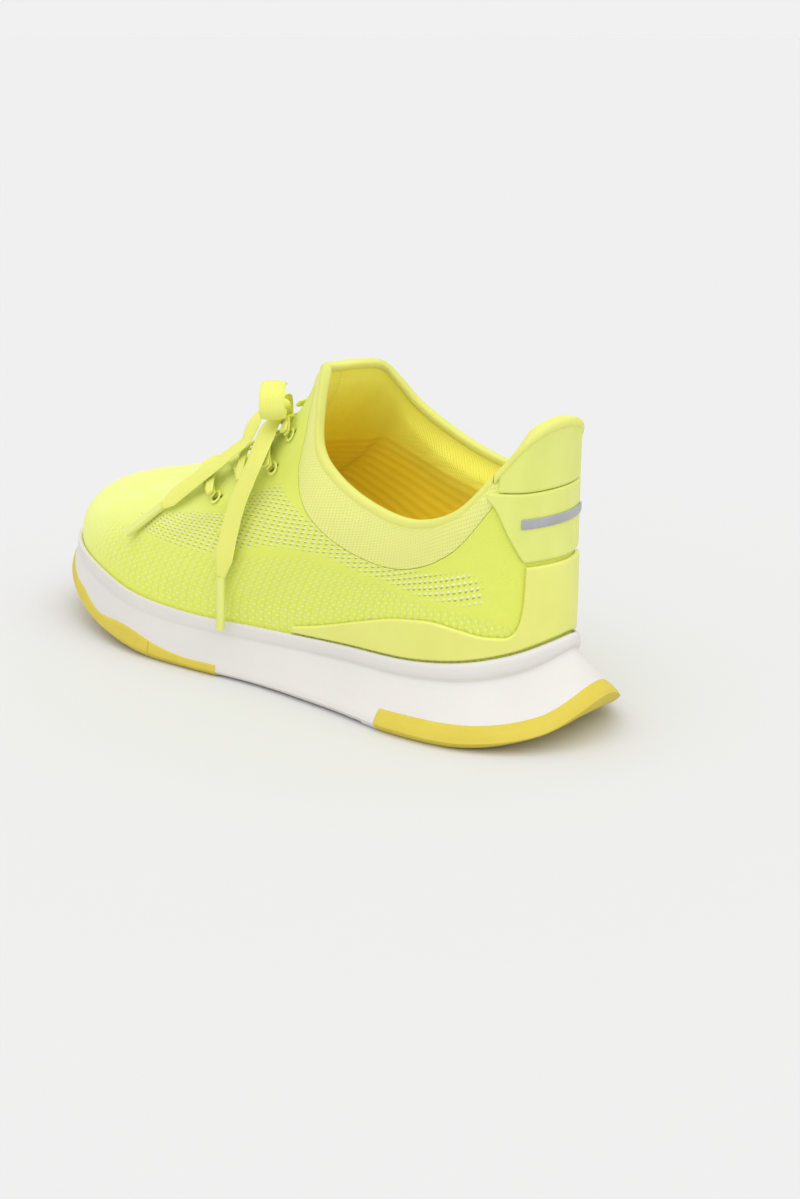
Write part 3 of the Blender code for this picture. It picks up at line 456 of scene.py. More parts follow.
def rows_between(low, high, rows):
    """Even rows between two runs, one pair for each column."""
    return low[:, None] + (high - low)[:, None] * np.linspace(0, 1, rows)[None, :]


def flat_cloth(upper, runs):
    """Cloth places of a grid: along the shoe and up from the sole."""
    return np.stack([np.broadcast_to(upper.around()[:, None], runs.shape), runs], -1)


FINE = 15
round_at = np.arange(STATIONS * FINE) / FINE
upper = Upper(round_at)
print("upper lines", len(upper.at), "longest", round(float(upper.length.max()), 3))

# %% [markdown]
# ## Finishes
# One sheet of colours for the whole shoe: lime knit, gold lining, off-white foam. The weave of each
# cloth follows its own flat places, so it keeps its size where the cloth turns.

# %% Knit finishes
LIME = (0.86, 0.93, 0.155)
LIME_PALE = (0.87, 0.94, 0.31)
# Painted shade: the dark colour painted into the lower half of each pierced hole.
HOLE_SHADE = (0.36, 0.39, 0.04)
FLECK = (0.96, 0.96, 0.78)
GOLD = (0.95, 0.80, 0.05)
STITCH_WIDE, STITCH_TALL = 0.95, 0.75
HOLE_WIDE, HOLE_TALL = 3.4, 2.8
RIB_SPACING, RIB_LEAN = 3.8, 0.45


def stitches(along, up, wide=STITCH_WIDE, tall=STITCH_TALL):
    """Knitted loops as V shapes side by side, 0 to 1."""
    lean = ((along / wide).fraction() - 0.5).size() * wide
    return ((up + lean * 0.9) * (2 * math.pi / tall)).sine() * 0.5 + 0.5


knit = Finish("lime_knit", LIME, 0.82)
along, up = knit.cloth()
pierced, ribbed, toe = (knit.attribute(mask) for mask in ("pierced", "ribbed", "toe"))
distance, over = lattice(along, up, HOLE_WIDE, HOLE_TALL)
hole = 1 - distance.step(0.7, 1.1)
# The lower half of each hole is pressed in and painted dark: painted shade inside the hole.
shaded_crescent = pierced * hole * (1 - over.step(-0.4, -0.1))
fleck = pierced * hole * over.step(-0.25, 0.1)
leaning = along + up * RIB_LEAN
rib = (leaning * (2 * math.pi / RIB_SPACING)).sine() * 0.5 + 0.5
distance, over = lattice(leaning, up, RIB_SPACING, RIB_SPACING / 2)
rib_mark = ribbed * (1 - distance.step(0.3, 0.65))
loops = stitches(along, up)
cloudy = knit.noise(60)
tone = knit.blend(toe, LIME, LIME_PALE)
tone = knit.blend(cloudy.step(0.3, 0.75) * 0.35, tone, (0.82, 0.91, 0.14))
tone = knit.blend((1 - loops) * 0.2, tone, (0.66, 0.74, 0.08))
# The rib furrows are painted darker: painted shade in the furrows.
tone = knit.blend(ribbed * (1 - rib) * 0.3, tone, (0.70, 0.80, 0.09))
tone = knit.blend(rib_mark * 0.65, tone, FLECK)
tone = knit.blend(shaded_crescent * 0.8, tone, HOLE_SHADE)
tone = knit.blend(fleck * 0.95, tone, FLECK)
# Near black round each lace hole: a painted shadow in the hole where the lace goes in.
tone = knit.blend(knit.attribute("eyelet"), tone, (0.10, 0.11, 0.01))
knit.feed("Base Color", tone)
knit.feed("Roughness", cloudy * 0.2 + 0.72)
knit.relief(loops * (0.35 - 0.2 * toe) + ribbed * rib * 0.3 + fleck * 0.5 - shaded_crescent * 0.9 + 0.4, 0.0005, 0.7)

collar_knit = Finish("collar_knit", (0.93, 0.95, 0.28), 0.85)
along, up = collar_knit.cloth()
loops = stitches(along, up, 0.8, 0.7)
distance, over = lattice(along, up, 1.9, 1.6)
dimple = 1 - distance.step(0.2, 0.5)
tone = collar_knit.blend((1 - loops) * 0.2, (0.94, 0.96, 0.30), (0.74, 0.79, 0.14))
collar_knit.feed("Base Color", collar_knit.blend(dimple * 0.45, tone, (0.60, 0.62, 0.09)))
collar_knit.feed("Roughness", loops * 0.15 + 0.75)
collar_knit.relief(loops * 0.4 - dimple * 0.6 + 0.5, 0.0004, 0.7)

binding = Finish("edge_binding", (0.90, 0.93, 0.22), 0.75)
along, up = binding.cloth()
weave = (along * (2 * math.pi / 0.9)).sine() * (up * (2 * math.pi / 0.6)).sine() * 0.5 + 0.5
binding.feed("Base Color", binding.blend(weave * 0.35, (0.92, 0.94, 0.24), (0.78, 0.81, 0.14)))
binding.feed("Roughness", weave * 0.15 + 0.68)
binding.relief(weave, 0.00025, 0.7)

# The lining glows a little in its own colour: painted light that brightens the inside of the shoe.
lining = Finish("lining_fabric", GOLD, 0.9, Emission_Strength=0.09)
along, up = lining.cloth()
loops = stitches(along, up, 1.1, 0.9)
cloudy = lining.noise(45)
tone = lining.blend(cloudy.step(0.3, 0.7) * 0.4, (0.96, 0.82, 0.06), (0.90, 0.72, 0.04))
tone = lining.blend(lining.attribute("ridged") * 0.8, tone, (0.97, 0.70, 0.03))
# Between the raised ridges the lining is painted darker: painted shade in the furrows.
shaded_furrows = lining.attribute("ridged") * (1 - lining.attribute("arches"))
tone = lining.blend(shaded_furrows * 0.22, tone, (0.80, 0.50, 0.02))
tone = lining.blend(lining.attribute("edge") * 0.85, tone, (0.93, 0.93, 0.14))
lining.feed("Emission Color", tone)
lining.feed("Base Color", lining.blend((1 - loops) * 0.25, tone, (0.70, 0.50, 0.02)))
lining.feed("Roughness", loops * 0.12 + 0.8)
lining.relief(loops, 0.0003, 0.7)

# The insole glows a little in its own colour: painted light that brightens the inside of the shoe.
insole_cloth = Finish("insole_fabric", GOLD, 0.88, Emission_Strength=0.1)
along, up = insole_cloth.cloth()
arch = ((up + (along * along) * 0.012) * (2 * math.pi / 4.2)).sine() * 0.5 + 0.5
loops = stitches(along, up, 1.2, 1.0)
# Between the arched ridges the insole is painted darker: painted shade in the furrows.
tone = insole_cloth.blend((1 - arch) * 0.4, (0.97, 0.80, 0.06), (0.70, 0.46, 0.02))
insole_cloth.feed("Emission Color", tone)
insole_cloth.feed("Base Color", insole_cloth.blend((1 - loops) * 0.2, tone, (0.68, 0.44, 0.02)))
insole_cloth.feed("Roughness", arch * 0.1 + 0.8)
insole_cloth.relief(arch * 0.8 + loops * 0.2, 0.0006, 0.7)

yarn = Finish("lace_yarn", (0.92, 0.94, 0.20), 0.8)
along, up = yarn.cloth()
twill = ((along + up.size() * 1.2) * (2 * math.pi / 1.0)).sine() * 0.5 + 0.5
threads = (up * (2 * math.pi / 0.55)).sine() * 0.5 + 0.5
tone = yarn.blend((1 - twill) * 0.30, (0.93, 0.95, 0.22), (0.76, 0.77, 0.10))
yarn.feed("Base Color", yarn.blend((1 - threads) * 0.15, tone, (0.70, 0.69, 0.08)))
yarn.feed("Roughness", twill * 0.15 + 0.7)
yarn.relief(twill * 0.6 + threads * 0.4, 0.0003, 0.8)

# %% Moulded finishes
foam = Finish("midsole_foam", (0.83, 0.80, 0.765), 0.55, Subsurface_Weight=0.08, Subsurface_Scale=0.004)
cloudy = foam.noise(35, 3)
grain = foam.noise(1400, 2)
foam.feed("Base Color", foam.blend(cloudy.step(0.3, 0.75) * 0.5, (0.75, 0.72, 0.69), (0.70, 0.67, 0.645)))
foam.feed("Roughness", grain * 0.25 + 0.42)
foam.relief(grain * 0.7 + cloudy * 0.3, 0.00012, 0.6)

rubber = Finish("outsole_rubber", (0.68, 0.55, 0.075), 0.6, Specular_IOR_Level=0.3)
cloudy = rubber.noise(70, 3)
grain = rubber.noise(1800, 2)
rubber.feed("Base Color", rubber.blend(cloudy.step(0.3, 0.75) * 0.5, (0.70, 0.57, 0.075), (0.63, 0.50, 0.06)))
rubber.feed("Roughness", grain * 0.3 + 0.5)
rubber.relief(grain, 0.00015, 0.6)


def film_finish(name, bright, dull, roughness, spacing):
    """A moulded or pressed film with a fine regular emboss."""
    film = Finish(name, bright, roughness)
    along, up = film.cloth()
    emboss = ((along + up) * (2 * math.pi / spacing)).sine() * ((along - up) * (2 * math.pi / spacing)).sine()
    emboss = emboss * 0.5 + 0.5
    cloudy = film.noise(50, 3)
    film.feed("Base Color", film.blend(cloudy.step(0.3, 0.7) * 0.5 + emboss * 0.15, bright, dull))
    film.feed("Roughness", cloudy * 0.2 + (roughness - 0.1))
    film.relief(emboss, 0.00012, 0.5)
    return film


overlay = film_finish("heel_overlay", (0.83, 0.85, 0.21), (0.77, 0.78, 0.17), 0.42, 0.8)
heel_film = film_finish("heel_film", (0.78, 0.83, 0.21), (0.71, 0.76, 0.16), 0.45, 1.2)
eyelet_film = film_finish("eyelet_film", (0.84, 0.89, 0.16), (0.76, 0.82, 0.12), 0.5, 0.5)
lace_tip = film_finish("lace_tip", (0.80, 0.85, 0.24), (0.68, 0.72, 0.16), 0.3, 0.7)
reflective = film_finish("reflective_film", (0.44, 0.45, 0.47), (0.34, 0.35, 0.37), 0.35, 0.6)
board = film_finish("bottom_board", (0.75, 0.72, 0.62), (0.66, 0.63, 0.53), 0.85, 1.0)
stiffener = film_finish("stiffener_sheet", (0.70, 0.70, 0.66), (0.60, 0.60, 0.56), 0.6, 1.4)

# %% [markdown]
# ## Riding and bending
# The shoe bends under the ball of the foot. What crosses that line bends in a zone round it; the
# rest follows the rear.


def settle(made, nodes, bends=False, body="rearfoot"):
    """Hides the nodes a piece stands for and attaches it to the body it moves with; a piece that bends has its
    place baked into its points instead.
    """
    if bends:
        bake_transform(made)
    else:
        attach(made, body)
    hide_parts(*nodes)
    print(made.name, len(made.data.vertices), "points")
    return made


# %% [markdown]
# ## The free ends of the lace
# The lace is a flat woven strip, 9.5 mm wide. Two ends leave the knot: one lies forward over the
# upper, the other hangs down the side. Each is threaded into a moulded tip.

# %% Lace strips
LACE_WIDTH = 0.0095
LACE_THICKNESS = 0.001
STRIP_SIDES = 14


def smooth_route(points, count):
    """Evenly spaced points along a smooth open curve through the given ones, in metres."""
    points = np.array(points, float) * MM
    ends = np.vstack([2 * points[0] - points[1], points, 2 * points[-1] - points[-2]])
    t = np.linspace(0, len(points) - 1, 40 * len(points))
    low = np.minimum(t.astype(int), len(points) - 2)
    part = (t - low)[:, None]
    before, here, after, beyond = (ends[low + step] for step in range(4))
    square = 2 * before - 5 * here + 4 * after - beyond
    cube = 3 * here - before - 3 * after + beyond
    curve = here + 0.5 * ((after - before) * part + square * part ** 2 + cube * part ** 3)
    distance = np.concatenate([[0], np.cumsum(np.linalg.norm(np.diff(curve, axis=0), axis=1))])
    even = np.linspace(0, distance[-1], count)
    return np.stack([np.interp(even, distance, curve[:, k]) for k in range(3)], 1)


def make_tube(name, rings, material, cloth, closed=False, sharp=60):
    """A solid bar from its cross-sections, of shape (sections, sides, 3); closed joins its two ends."""
    sections, sides = rings.shape[:2]
    index = np.arange(sections * sides).reshape(sections, sides)
    index = np.concatenate([index, index[:, :1]], 1)
    if closed:
        index = np.vstack([index, index[:1]])
    faces = np.stack([index[:-1, :-1], index[1:, :-1], index[1:, 1:], index[:-1, 1:]], -1).reshape(-1, 4)
    faces = [tuple(face) for face in faces.tolist()]
    if not closed:
        faces += [tuple(range(sides)), tuple(range((sections - 1) * sides, sections * sides))]
    flat = np.concatenate([cloth, np.zeros(cloth.shape[:2] + (1,))], -1).reshape(-1, 3)
    return make_mesh(name, rings.reshape(-1, 3), faces, material, flat, sharp=sharp)


def make_strip(name, route, across, widths, thickness, material, curl=0.0):
    """A flat woven strip along a route, rounded at its edges and curled a little across its width."""
    along = unit(np.gradient(route, axis=0))
    across = unit(np.broadcast_to(across, route.shape))
    rise = unit(np.cross(across, along))
    across = unit(np.cross(along, rise))
    turns = np.arange(STRIP_SIDES) / STRIP_SIDES * 2 * math.pi
    side = np.sign(np.cos(turns)) * np.abs(np.cos(turns)) ** 0.8
    up = np.sign(np.sin(turns)) * np.abs(np.sin(turns)) ** 0.6
    widths = np.broadcast_to(widths, (len(route),))[:, None]
    aside = side[None] * widths / 2
    high = up[None] * thickness / 2 + curl * (side[None] ** 2 - 0.5) * widths
    rings = route[:, None] + aside[..., None] * across[:, None] + high[..., None] * rise[:, None]
    distance = np.concatenate([[0], np.cumsum(np.linalg.norm(np.diff(route, axis=0), axis=1))])
    cloth = np.stack([np.broadcast_to(distance[:, None], aside.shape), aside], -1)
    return make_tube(name, rings, material, cloth)


# %% Free ends
FRONT_END = [(-15.5, 14, 101.3), (-20.5, 13, 97.5), (-24.5, 13.5, 91.5), (-26.6, 18.5, 87), (-28.6, 25, 81.6),
             (-30.3, 33.8, 75.2), (-32.6, 43.4, 67.8), (-34.6, 50.8, 61.6)]
FRONT_TIP = (-41.2, 65.5, 48.6)
FRONT_FACING = (-0.45, 0.3, 0.85), (-0.85, 0.2, 0.5)
SIDE_END = [(-16.5, 5, 100.6), (-22.5, 1.5, 99.8), (-29.5, -2.3, 96.4), (-34.5, -2.5, 89.5),
            (-37.3, 0.3, 80.5), (-39.5, 4, 70.5), (-41.5, 6.4, 60), (-43.2, 7.8, 50.5), (-43.9, 9.2, 42)]
SIDE_TIP = (-45.6, 8.6, 20.9)
SIDE_FACING = (-0.5, 0.1, 0.85), (-1, 0, 0.05)
TIP_WIDTH, TIP_THICKNESS, TIP_GAP = 0.0036, 0.0026, 0.0002
ROUTE_STEPS, TIP_STEPS = 90, 16
FREE_END_CURL = 0.03


def make_free_end(end, points, tip, facing, bends):
    """One end of the lace and its tip."""
    route = smooth_route(points, ROUTE_STEPS)
    share = np.linspace(0, 1, len(route))
    ways = np.outer(1 - share, facing[0]) + np.outer(share, facing[1])
    across = np.cross(ways, np.gradient(route, axis=0))
    widths = np.interp(share, (0, 0.12, 0.9, 1), (0.6, 1, 1, 0.42)) * LACE_WIDTH
    lace = make_strip("lace_end_" + end, route, across, widths, LACE_THICKNESS, yarn.material,
                      FREE_END_CURL)
    settle(lace, ["lace_end_" + end], bends)
    way = unit(np.array(tip) * MM - route[-1])
    reach = np.linalg.norm(np.array(tip) * MM - route[-1]) - TIP_GAP
    share = np.linspace(0, 1, TIP_STEPS)
    tip_route = route[-1] + way * (TIP_GAP + share[:, None] * reach)
    slim = np.interp(share, (0, 0.06, 0.92, 1), (0.85, 1, 1, 0.8)) * TIP_WIDTH
    aglet = make_strip("aglet_" + end, tip_route, across[-1], slim, TIP_THICKNESS, lace_tip.material)
    settle(aglet, ["aglet_" + end], bends)


make_free_end("front", FRONT_END, FRONT_TIP, FRONT_FACING, True)
make_free_end("side", SIDE_END, SIDE_TIP, SIDE_FACING, False)

# %% [markdown]
# ## Sole unit
# The foam is one moulded cup: ground face, flared wall, a groove, and the rim band that holds the
# upper. It is built from rings round the outline, one above the other, closed across at both ends.

# %% Foam cup
WALL = [(0, 0), (0.08, 0.07), (0.25, 0.33), (0.45, 0.62), (0.6, 0.84), (0.68, 0.95), (0.72, 0.985),
        (0.745, 0.965), (0.78, 0.935), (0.84, 0.925), (0.92, 0.935), (0.97, 0.96), (1, 1.02)]
EDGE_BULGE = 0.12
MIDSOLE_LIFT = 0.0005
RIM_WALL = 0.0022
RIM_DEPTH = 0.005


def sole_heights(at):
    return tuple(curve_at(values, at) for values in (WIDEST, RIM, RUBBER_TOP, RIM_IN, GROUND_IN))


def wall_ring(at, rise, proud=0.0):
    """Ring on the side wall, from the widest line (0) to the rim (1)."""
    widest, rim, rubber_top, rim_in, ground_in = sole_heights(at)
    places, insets = np.array(WALL).T
    return sole_ring(at, np.interp(rise, places, insets) * rim_in - proud, widest + (rim - widest) * rise)


def rolled_ring(at, share, lift, proud=0.0):
    """Ring on the rounded corner between the ground face (0) and the widest line (1)."""
    widest, rim, rubber_top, rim_in, ground_in = sole_heights(at)
    ground = sole_ring(at, ground_in - proud, lambda y: rocker(y) + lift)
    side = wall_ring(at, 0.0, proud)
    bulge = math.sin(math.pi * share) * EDGE_BULGE * ground_in[:, None]
    outwards = unit(np.column_stack([(side - ground)[:, :2], -np.abs(ground_in) * 0.6]))
    return ground * (1 - share) + side * share + outwards * bulge * (share < 1)


def close_across(ring, columns, height):
    """Rungs from the lateral to the medial side of a ring, to close it; the ring's first point is the toe."""
    half = len(ring) // 2
    left, right = ring[1:half], ring[:half:-1]
    share = (np.arange(1, columns) / columns)[None, :, None]
    rungs = left[:, None] + (right - left)[:, None] * share
    rungs[..., 2] = height(rungs, share[..., 0])
    return rungs


def stacked(name, rings, low, high, material, columns=24):
    """A closed body from rings one above the other, closed across below and above."""
    rings = np.array(rings)
    rows, count = rings.shape[:2]
    half = count // 2
    index = np.arange(rows * count).reshape(rows, count)
    wrap = np.concatenate([index, index[:, :1]], 1)
    faces = np.stack([wrap[:-1, :-1], wrap[:-1, 1:], wrap[1:, 1:], wrap[1:, :-1]], -1).reshape(-1, 4)
    faces = [tuple(face) for face in faces.tolist()]
    points = [rings.reshape(-1, 3)]
    first = rows * count
    for row, height in ((0, low), (rows - 1, high)):
        rungs = close_across(rings[row], columns, height)
        grid = np.arange(rungs.shape[0] * rungs.shape[1]).reshape(rungs.shape[:2]) + first
        grid = np.concatenate([index[row, 1:half, None], grid, index[row, :half:-1, None]], 1)
        faces += [tuple(face) for face in np.stack(
            [grid[:-1, :-1], grid[1:, :-1], grid[1:, 1:], grid[:-1, 1:]], -1).reshape(-1, 4).tolist()]
        faces += [(int(index[row, 0]), int(a), int(b)) for a, b in zip(grid[0], grid[0, 1:])]
        faces += [(int(index[row, half]), int(b), int(a)) for a, b in zip(grid[-1], grid[-1, 1:])]
        points.append(rungs.reshape(-1, 3))
        first += rungs.shape[0] * rungs.shape[1]
    points = np.concatenate(points)
    return make_mesh(name, points, faces, material, points)


def level(rungs, share):
    """Height of a rung that runs straight from side to side."""
    return rungs[..., 2]


def on_ground(lift):
    return lambda rungs, share: rocker(rungs[..., 1]) + lift


CORNER = np.linspace(0, 1, 7)
widest, rim, rubber_top, rim_in, ground_in = sole_heights(round_at)
rings = [rolled_ring(round_at, share, MIDSOLE_LIFT) for share in CORNER]
rings += [wall_ring(round_at, rise) for rise in np.linspace(0, 1, 61)[1:]]
rings += [sole_ring(round_at, rim_in + lip, rim - drop) for lip, drop in
          ((0.0009, 0.0), (0.0016, 0.0003), (RIM_WALL, 0.0012), (RIM_WALL + 0.0001, 0.0035))]
rings.append(sole_ring(round_at, rim_in + RIM_WALL + GAP, rim - RIM_DEPTH))
midsole = stacked("midsole", rings, on_ground(MIDSOLE_LIFT), level, foam.material)
settle(midsole, ["midsole_rearfoot", "midsole_forefoot"], bends=True)

# %% [markdown]
# Rubber pads sit in the foam under the heel, the ball and the toe, a hair proud of it, and their
# lips run up the wall. A small foam insert lies ahead of the heel pad.

# %% Rubber pads
RUBBER_THICKNESS, RUBBER_LIP = 0.003, 0.0024
RUBBER_PROUD = 0.00035
FLEX_LINE, HEEL_FRONT, INSERT_LENGTH, BALL_BACK = 0.049, -0.0715, 0.007, 0.0135
FLEX_GROOVES = (0.027, 0.069, 0.092)
GROOVE_WIDE, GROOVE_DEEP = 0.004, 0.0018
INSERT_PROUD, LIP_DROP = 0.0002, 0.0004
EDGE_WAVES = [(0, 0), (1.2, 1.2), (2.0, 0), (2.6, 1.6), (3.2, 0.2), (3.8, 1.4), (4.6, 0.2), (5.4, 0.8),
              (6.5, 0), (7.2, 2.4), (8.6, 2.6), (9.6, 1.6), (10.4, 0.5), (11, 0)]
rubber_top = rubber_top + table_at(EDGE_WAVES, mirrored(round_at)) * MM


def keep_between(made, behind, ahead):
    """Cuts a piece to the stretch between two places along the shoe."""
    shape = bmesh.new()
    shape.from_mesh(made.data)
    for place, normal in ((behind, (0, -1, 0)), (ahead, (0, 1, 0))):
        if place is not None:
            geometry = shape.verts[:] + shape.edges[:] + shape.faces[:]
            bmesh.ops.bisect_plane(shape, geom=geometry, plane_co=(0, place, 0), plane_no=normal,
                                   clear_outer=True)
            bmesh.ops.holes_fill(shape, edges=[edge for edge in shape.edges if edge.is_boundary], sides=0)
    bmesh.ops.recalc_face_normals(shape, faces=shape.faces)
    shape.to_mesh(made.data)
    shape.free()
    made.data.set_sharp_from_angle(angle=math.radians(50))


def groove_depth(y):
    """How far the ground face is cut in at the flex grooves."""
    nearest = np.min([np.abs(y - place) for place in FLEX_GROOVES], axis=0)
    return GROOVE_DEEP * np.clip(1 - nearest / (GROOVE_WIDE / 2), 0, 1)


def ground_pad(name, behind, ahead, material, proud=RUBBER_PROUD):
    """One pad of the outsole, with its lip up the side."""
    rise = (rubber_top - widest) / (rim - widest)
    places, insets = np.array(WALL).T
    rings = [rolled_ring(round_at, share, 0.0, proud) for share in CORNER]
    for step in np.linspace(0, 1, 9)[1:]:
        rings.append(sole_ring(round_at, np.interp(rise * step, places, insets) * rim_in - proud * (step < 1),
                               widest + (rubber_top - widest) * step))
    edge = np.interp(rise, places, insets) * rim_in
    rings.append(sole_ring(round_at, edge + RUBBER_LIP, rubber_top - LIP_DROP))
    rings.append(sole_ring(round_at, ground_in + RUBBER_LIP, lambda y: rocker(y) + RUBBER_THICKNESS))
    cut_ground = lambda rungs, share: rocker(rungs[..., 1]) + groove_depth(rungs[..., 1])
    pad = stacked(name, rings, cut_ground, on_ground(RUBBER_THICKNESS), material)
    keep_between(pad, behind, ahead)
    return pad


heel_pad = ground_pad("outsole_heel", None, HEEL_FRONT - GAP, rubber.material)
settle(heel_pad, ["outsole_heel"])
insert = ground_pad("arch_insert", HEEL_FRONT, HEEL_FRONT + INSERT_LENGTH, foam.material, INSERT_PROUD)
settle(insert, ["arch_insert"])
ball_pad = ground_pad("outsole_ball", BALL_BACK, FLEX_LINE - GAP / 2, rubber.material)
settle(ball_pad, ["outsole_ball"], bends=True)
toe_pad = ground_pad("outsole_toe", FLEX_LINE + GAP / 2, None, rubber.material)
settle(toe_pad, ["outsole_toe"], bends=True)

# %% [markdown]
# ## Board and insole
# A board closes the upper's foot, and the insole lies loose on it with arched ridges.

# %% Inner sheets
KNIT, LINING, PUFF = 0.002, 0.001, 0.0008
COUNTER = 0.00026
STROBEL, INSOLE = 0.0014, 0.004
PAD_THIN, PAD_THICK, PAD_LOW, PAD_SPREAD = 0.0008, 0.0058, 0.28, 0.009


def footbed_ring(extra, lift):
    return sole_ring(round_at, rim_in + RIM_WALL + extra, rim - RIM_DEPTH + lift)


def inner_sheet(name, inset, low, thickness, material, round_off=0.0):
    rings = [footbed_ring(inset, low), footbed_ring(inset, low + thickness - round_off)]
    if round_off:
        rings += [footbed_ring(inset + round_off * 0.3, low + thickness - round_off * 0.3),
                  footbed_ring(inset + round_off, low + thickness)]
    return stacked(name, rings, level, level, material)


strobel = inner_sheet("strobel_board", 2 * GAP + KNIT, GAP, STROBEL, board.material)
settle(strobel, ["strobel_board"], bends=True)
layers = KNIT + PAD_THIN + (PAD_THICK - PAD_THIN) * PAD_LOW + LINING
insole = inner_sheet("insole", layers + 3 * GAP, STROBEL + 2 * GAP, INSOLE, insole_cloth.material, 0.0012)
settle(insole, ["insole"], bends=True)

# %% [markdown]
# ## The knitted shell
# One knitted piece makes the whole outside. The sides are pierced in a staggered pattern, the band
# above the foam is ribbed, and the toe is plain. The outlines of the pierced field are given by
# station and by share of the way up.

# %% Shell
PIERCED = [(2.94, .255), (3.7, .293), (4.27, .341), (4.62, .393), (4.92, .538), (5.34, .598), (5.91, .637),
           (6.97, .584), (7.99, .461), (8.74, .361), (9.03, .354), (8.91, .466), (8.5, .577), (7.77, .653),
           (6.7, .727), (5.5, .781), (4.95, .786), (3.84, .803), (3.56, .715), (3.44, .647), (3.63, .565),
           (2.97, .478), (2.69, .378), (2.46, .293)]
STATION_SIZE, SHARE_SIZE = 28.0, 90.0
RIB_DEPTH, HOLE_DEPTH = 0.0003, 0.0008
EYELETS = [(2.82, 0.565), (2.9, 0.674), (3.1, 0.775), (2.55, 0.849)]


def inside_by(points, outline):
    """Distance inside a closed outline, below zero outside it."""
    start = np.array(outline, float)
    end = np.roll(start, -1, 0)
    nearest = np.full(len(points), 1e9)
    inside = np.zeros(len(points), bool)
    for (x0, y0), (x1, y1) in zip(start, end):
        edge = np.array((x1 - x0, y1 - y0))
        offset = points - (x0, y0)
        t = np.clip(offset @ edge / (edge @ edge), 0, 1)
        nearest = np.minimum(nearest, np.linalg.norm(offset - t[:, None] * edge, axis=1))
        crosses = (y0 > points[:, 1]) != (y1 > points[:, 1])
        if y1 != y0:
            inside ^= crosses & (points[:, 0] < (x1 - x0) * (points[:, 1] - y0) / (y1 - y0) + x0)
    return np.where(inside, nearest, -nearest)


def seam_run(sheet):
    return sheet.length - side_value(COLLAR_SEAM, sheet.at)


SHELL_FINE = 30
shell_at = HEEL + np.arange(STATIONS * SHELL_FINE) / SHELL_FINE
shell = Upper(shell_at)
runs = rows_between(np.zeros(len(shell_at)), seam_run(shell) - GAP / 2, 120)
share = runs / shell.length[:, None]
side = np.broadcast_to(mirrored(shell_at)[:, None], share.shape)
scaled = np.stack([side.ravel() * STATION_SIZE, share.ravel() * SHARE_SIZE], 1)
field = inside_by(scaled, np.array(PIERCED) * (STATION_SIZE, SHARE_SIZE)).reshape(share.shape)
pierced = fade(field, -1.0, 2.5)
low_band = np.interp(side, (1.5, 2.6, 3.6, 4.6, 5.6, 7, 8.6, 9.6), (.10, .24, .29, .40, .60, .58, .36, .2))
ribbed = fade(share, 0.03, 0.08) * (1 - fade(share, low_band - 0.05, low_band)) * fade(side, 1.6, 3.0)
toe = (1 - fade(side, 1.8, 3.8)) * (1 - 0.5 * fade(share, 0.4, 0.7))
hole = np.zeros(share.shape)
cloth = flat_cloth(shell, runs)
leaning = cloth[..., 0] + cloth[..., 1] * RIB_LEAN
rib = 0.5 + 0.5 * np.sin(leaning * 2 * math.pi / (RIB_SPACING * MM))
for station, height in EYELETS:
    away = np.hypot((side - station) * STATION_SIZE, (share - height) * SHARE_SIZE)
    hole = np.maximum(hole, 1 - fade(away, 1.4, 2.2))
outer = shell.place(runs, (1 - rib) * ribbed * RIB_DEPTH + hole * HOLE_DEPTH)
inner = shell.place(runs, KNIT)
# The eyelet mask marks the pressed-in lace holes and carries their painted shadow into the knit's colour.
masks = {"pierced": pierced, "ribbed": ribbed, "toe": toe, "eyelet": hole}
upper_knit = make_sheet("upper_knit", outer, inner, knit.material, cloth, masks, closed=True)
settle(upper_knit, ["upper_knit"], bends=True)

# %% [markdown]
# Above the seam a finer knit runs on to the bound edge of the opening.

# %% Collar
BINDING_HEIGHT, BINDING_PROUD = 0.0032, 0.0006
COLLAR_ROWS, COLLAR_SWELL = 16, 0.0005


def under_binding(sheet):
    return sheet.length - BINDING_HEIGHT + GAP


runs = rows_between(seam_run(upper) + GAP / 2, under_binding(upper), COLLAR_ROWS)
swell = np.sin(np.linspace(0, math.pi, COLLAR_ROWS))[None] * COLLAR_SWELL
collar_mesh = make_sheet("collar_mesh", upper.place(runs, -swell), upper.place(runs, KNIT),
                         collar_knit.material, flat_cloth(upper, runs), closed=True)
settle(collar_mesh, ["collar_mesh"])

# %% [markdown]
# ## Padding and lining
# The collar is padded: thick behind the ankle, thin at the tongue. The lining is drawn over the
# padding and eased into soft folds.

# %% Lining
FOAM_REACH = [28, 28, 28, 28, 26, 28, 30, 32, 36, 44, 52, 54]
LINING_REACH = [80, 80, 80, 82, 80, 76, 74, 74, 74, 78, 82, 83]
LINING_ROWS = 96
RIDGE_START, RIDGE_SLOPE, RIDGE_SPACING, RIDGE_HEIGHT = (0.441, 0.057), 0.43, 0.0048, 0.0003
FOLD_DEPTH = 0.0008


def padding_depth(sheet, runs):
    """Thickness of what lies between the knit and the lining."""
    side = mirrored(sheet.at)
    rear = fade(side, 3.2, 6.0)[:, None]
    below = sheet.length[:, None] - runs
    middle = (0.014 + 0.019 * fade(side, 8.0, 10.0))[:, None]
    share = PAD_LOW + (1 - PAD_LOW) * np.exp(-((below - middle) / PAD_SPREAD) ** 2)
    return PAD_THIN + (PAD_THICK - PAD_THIN) * share * rear


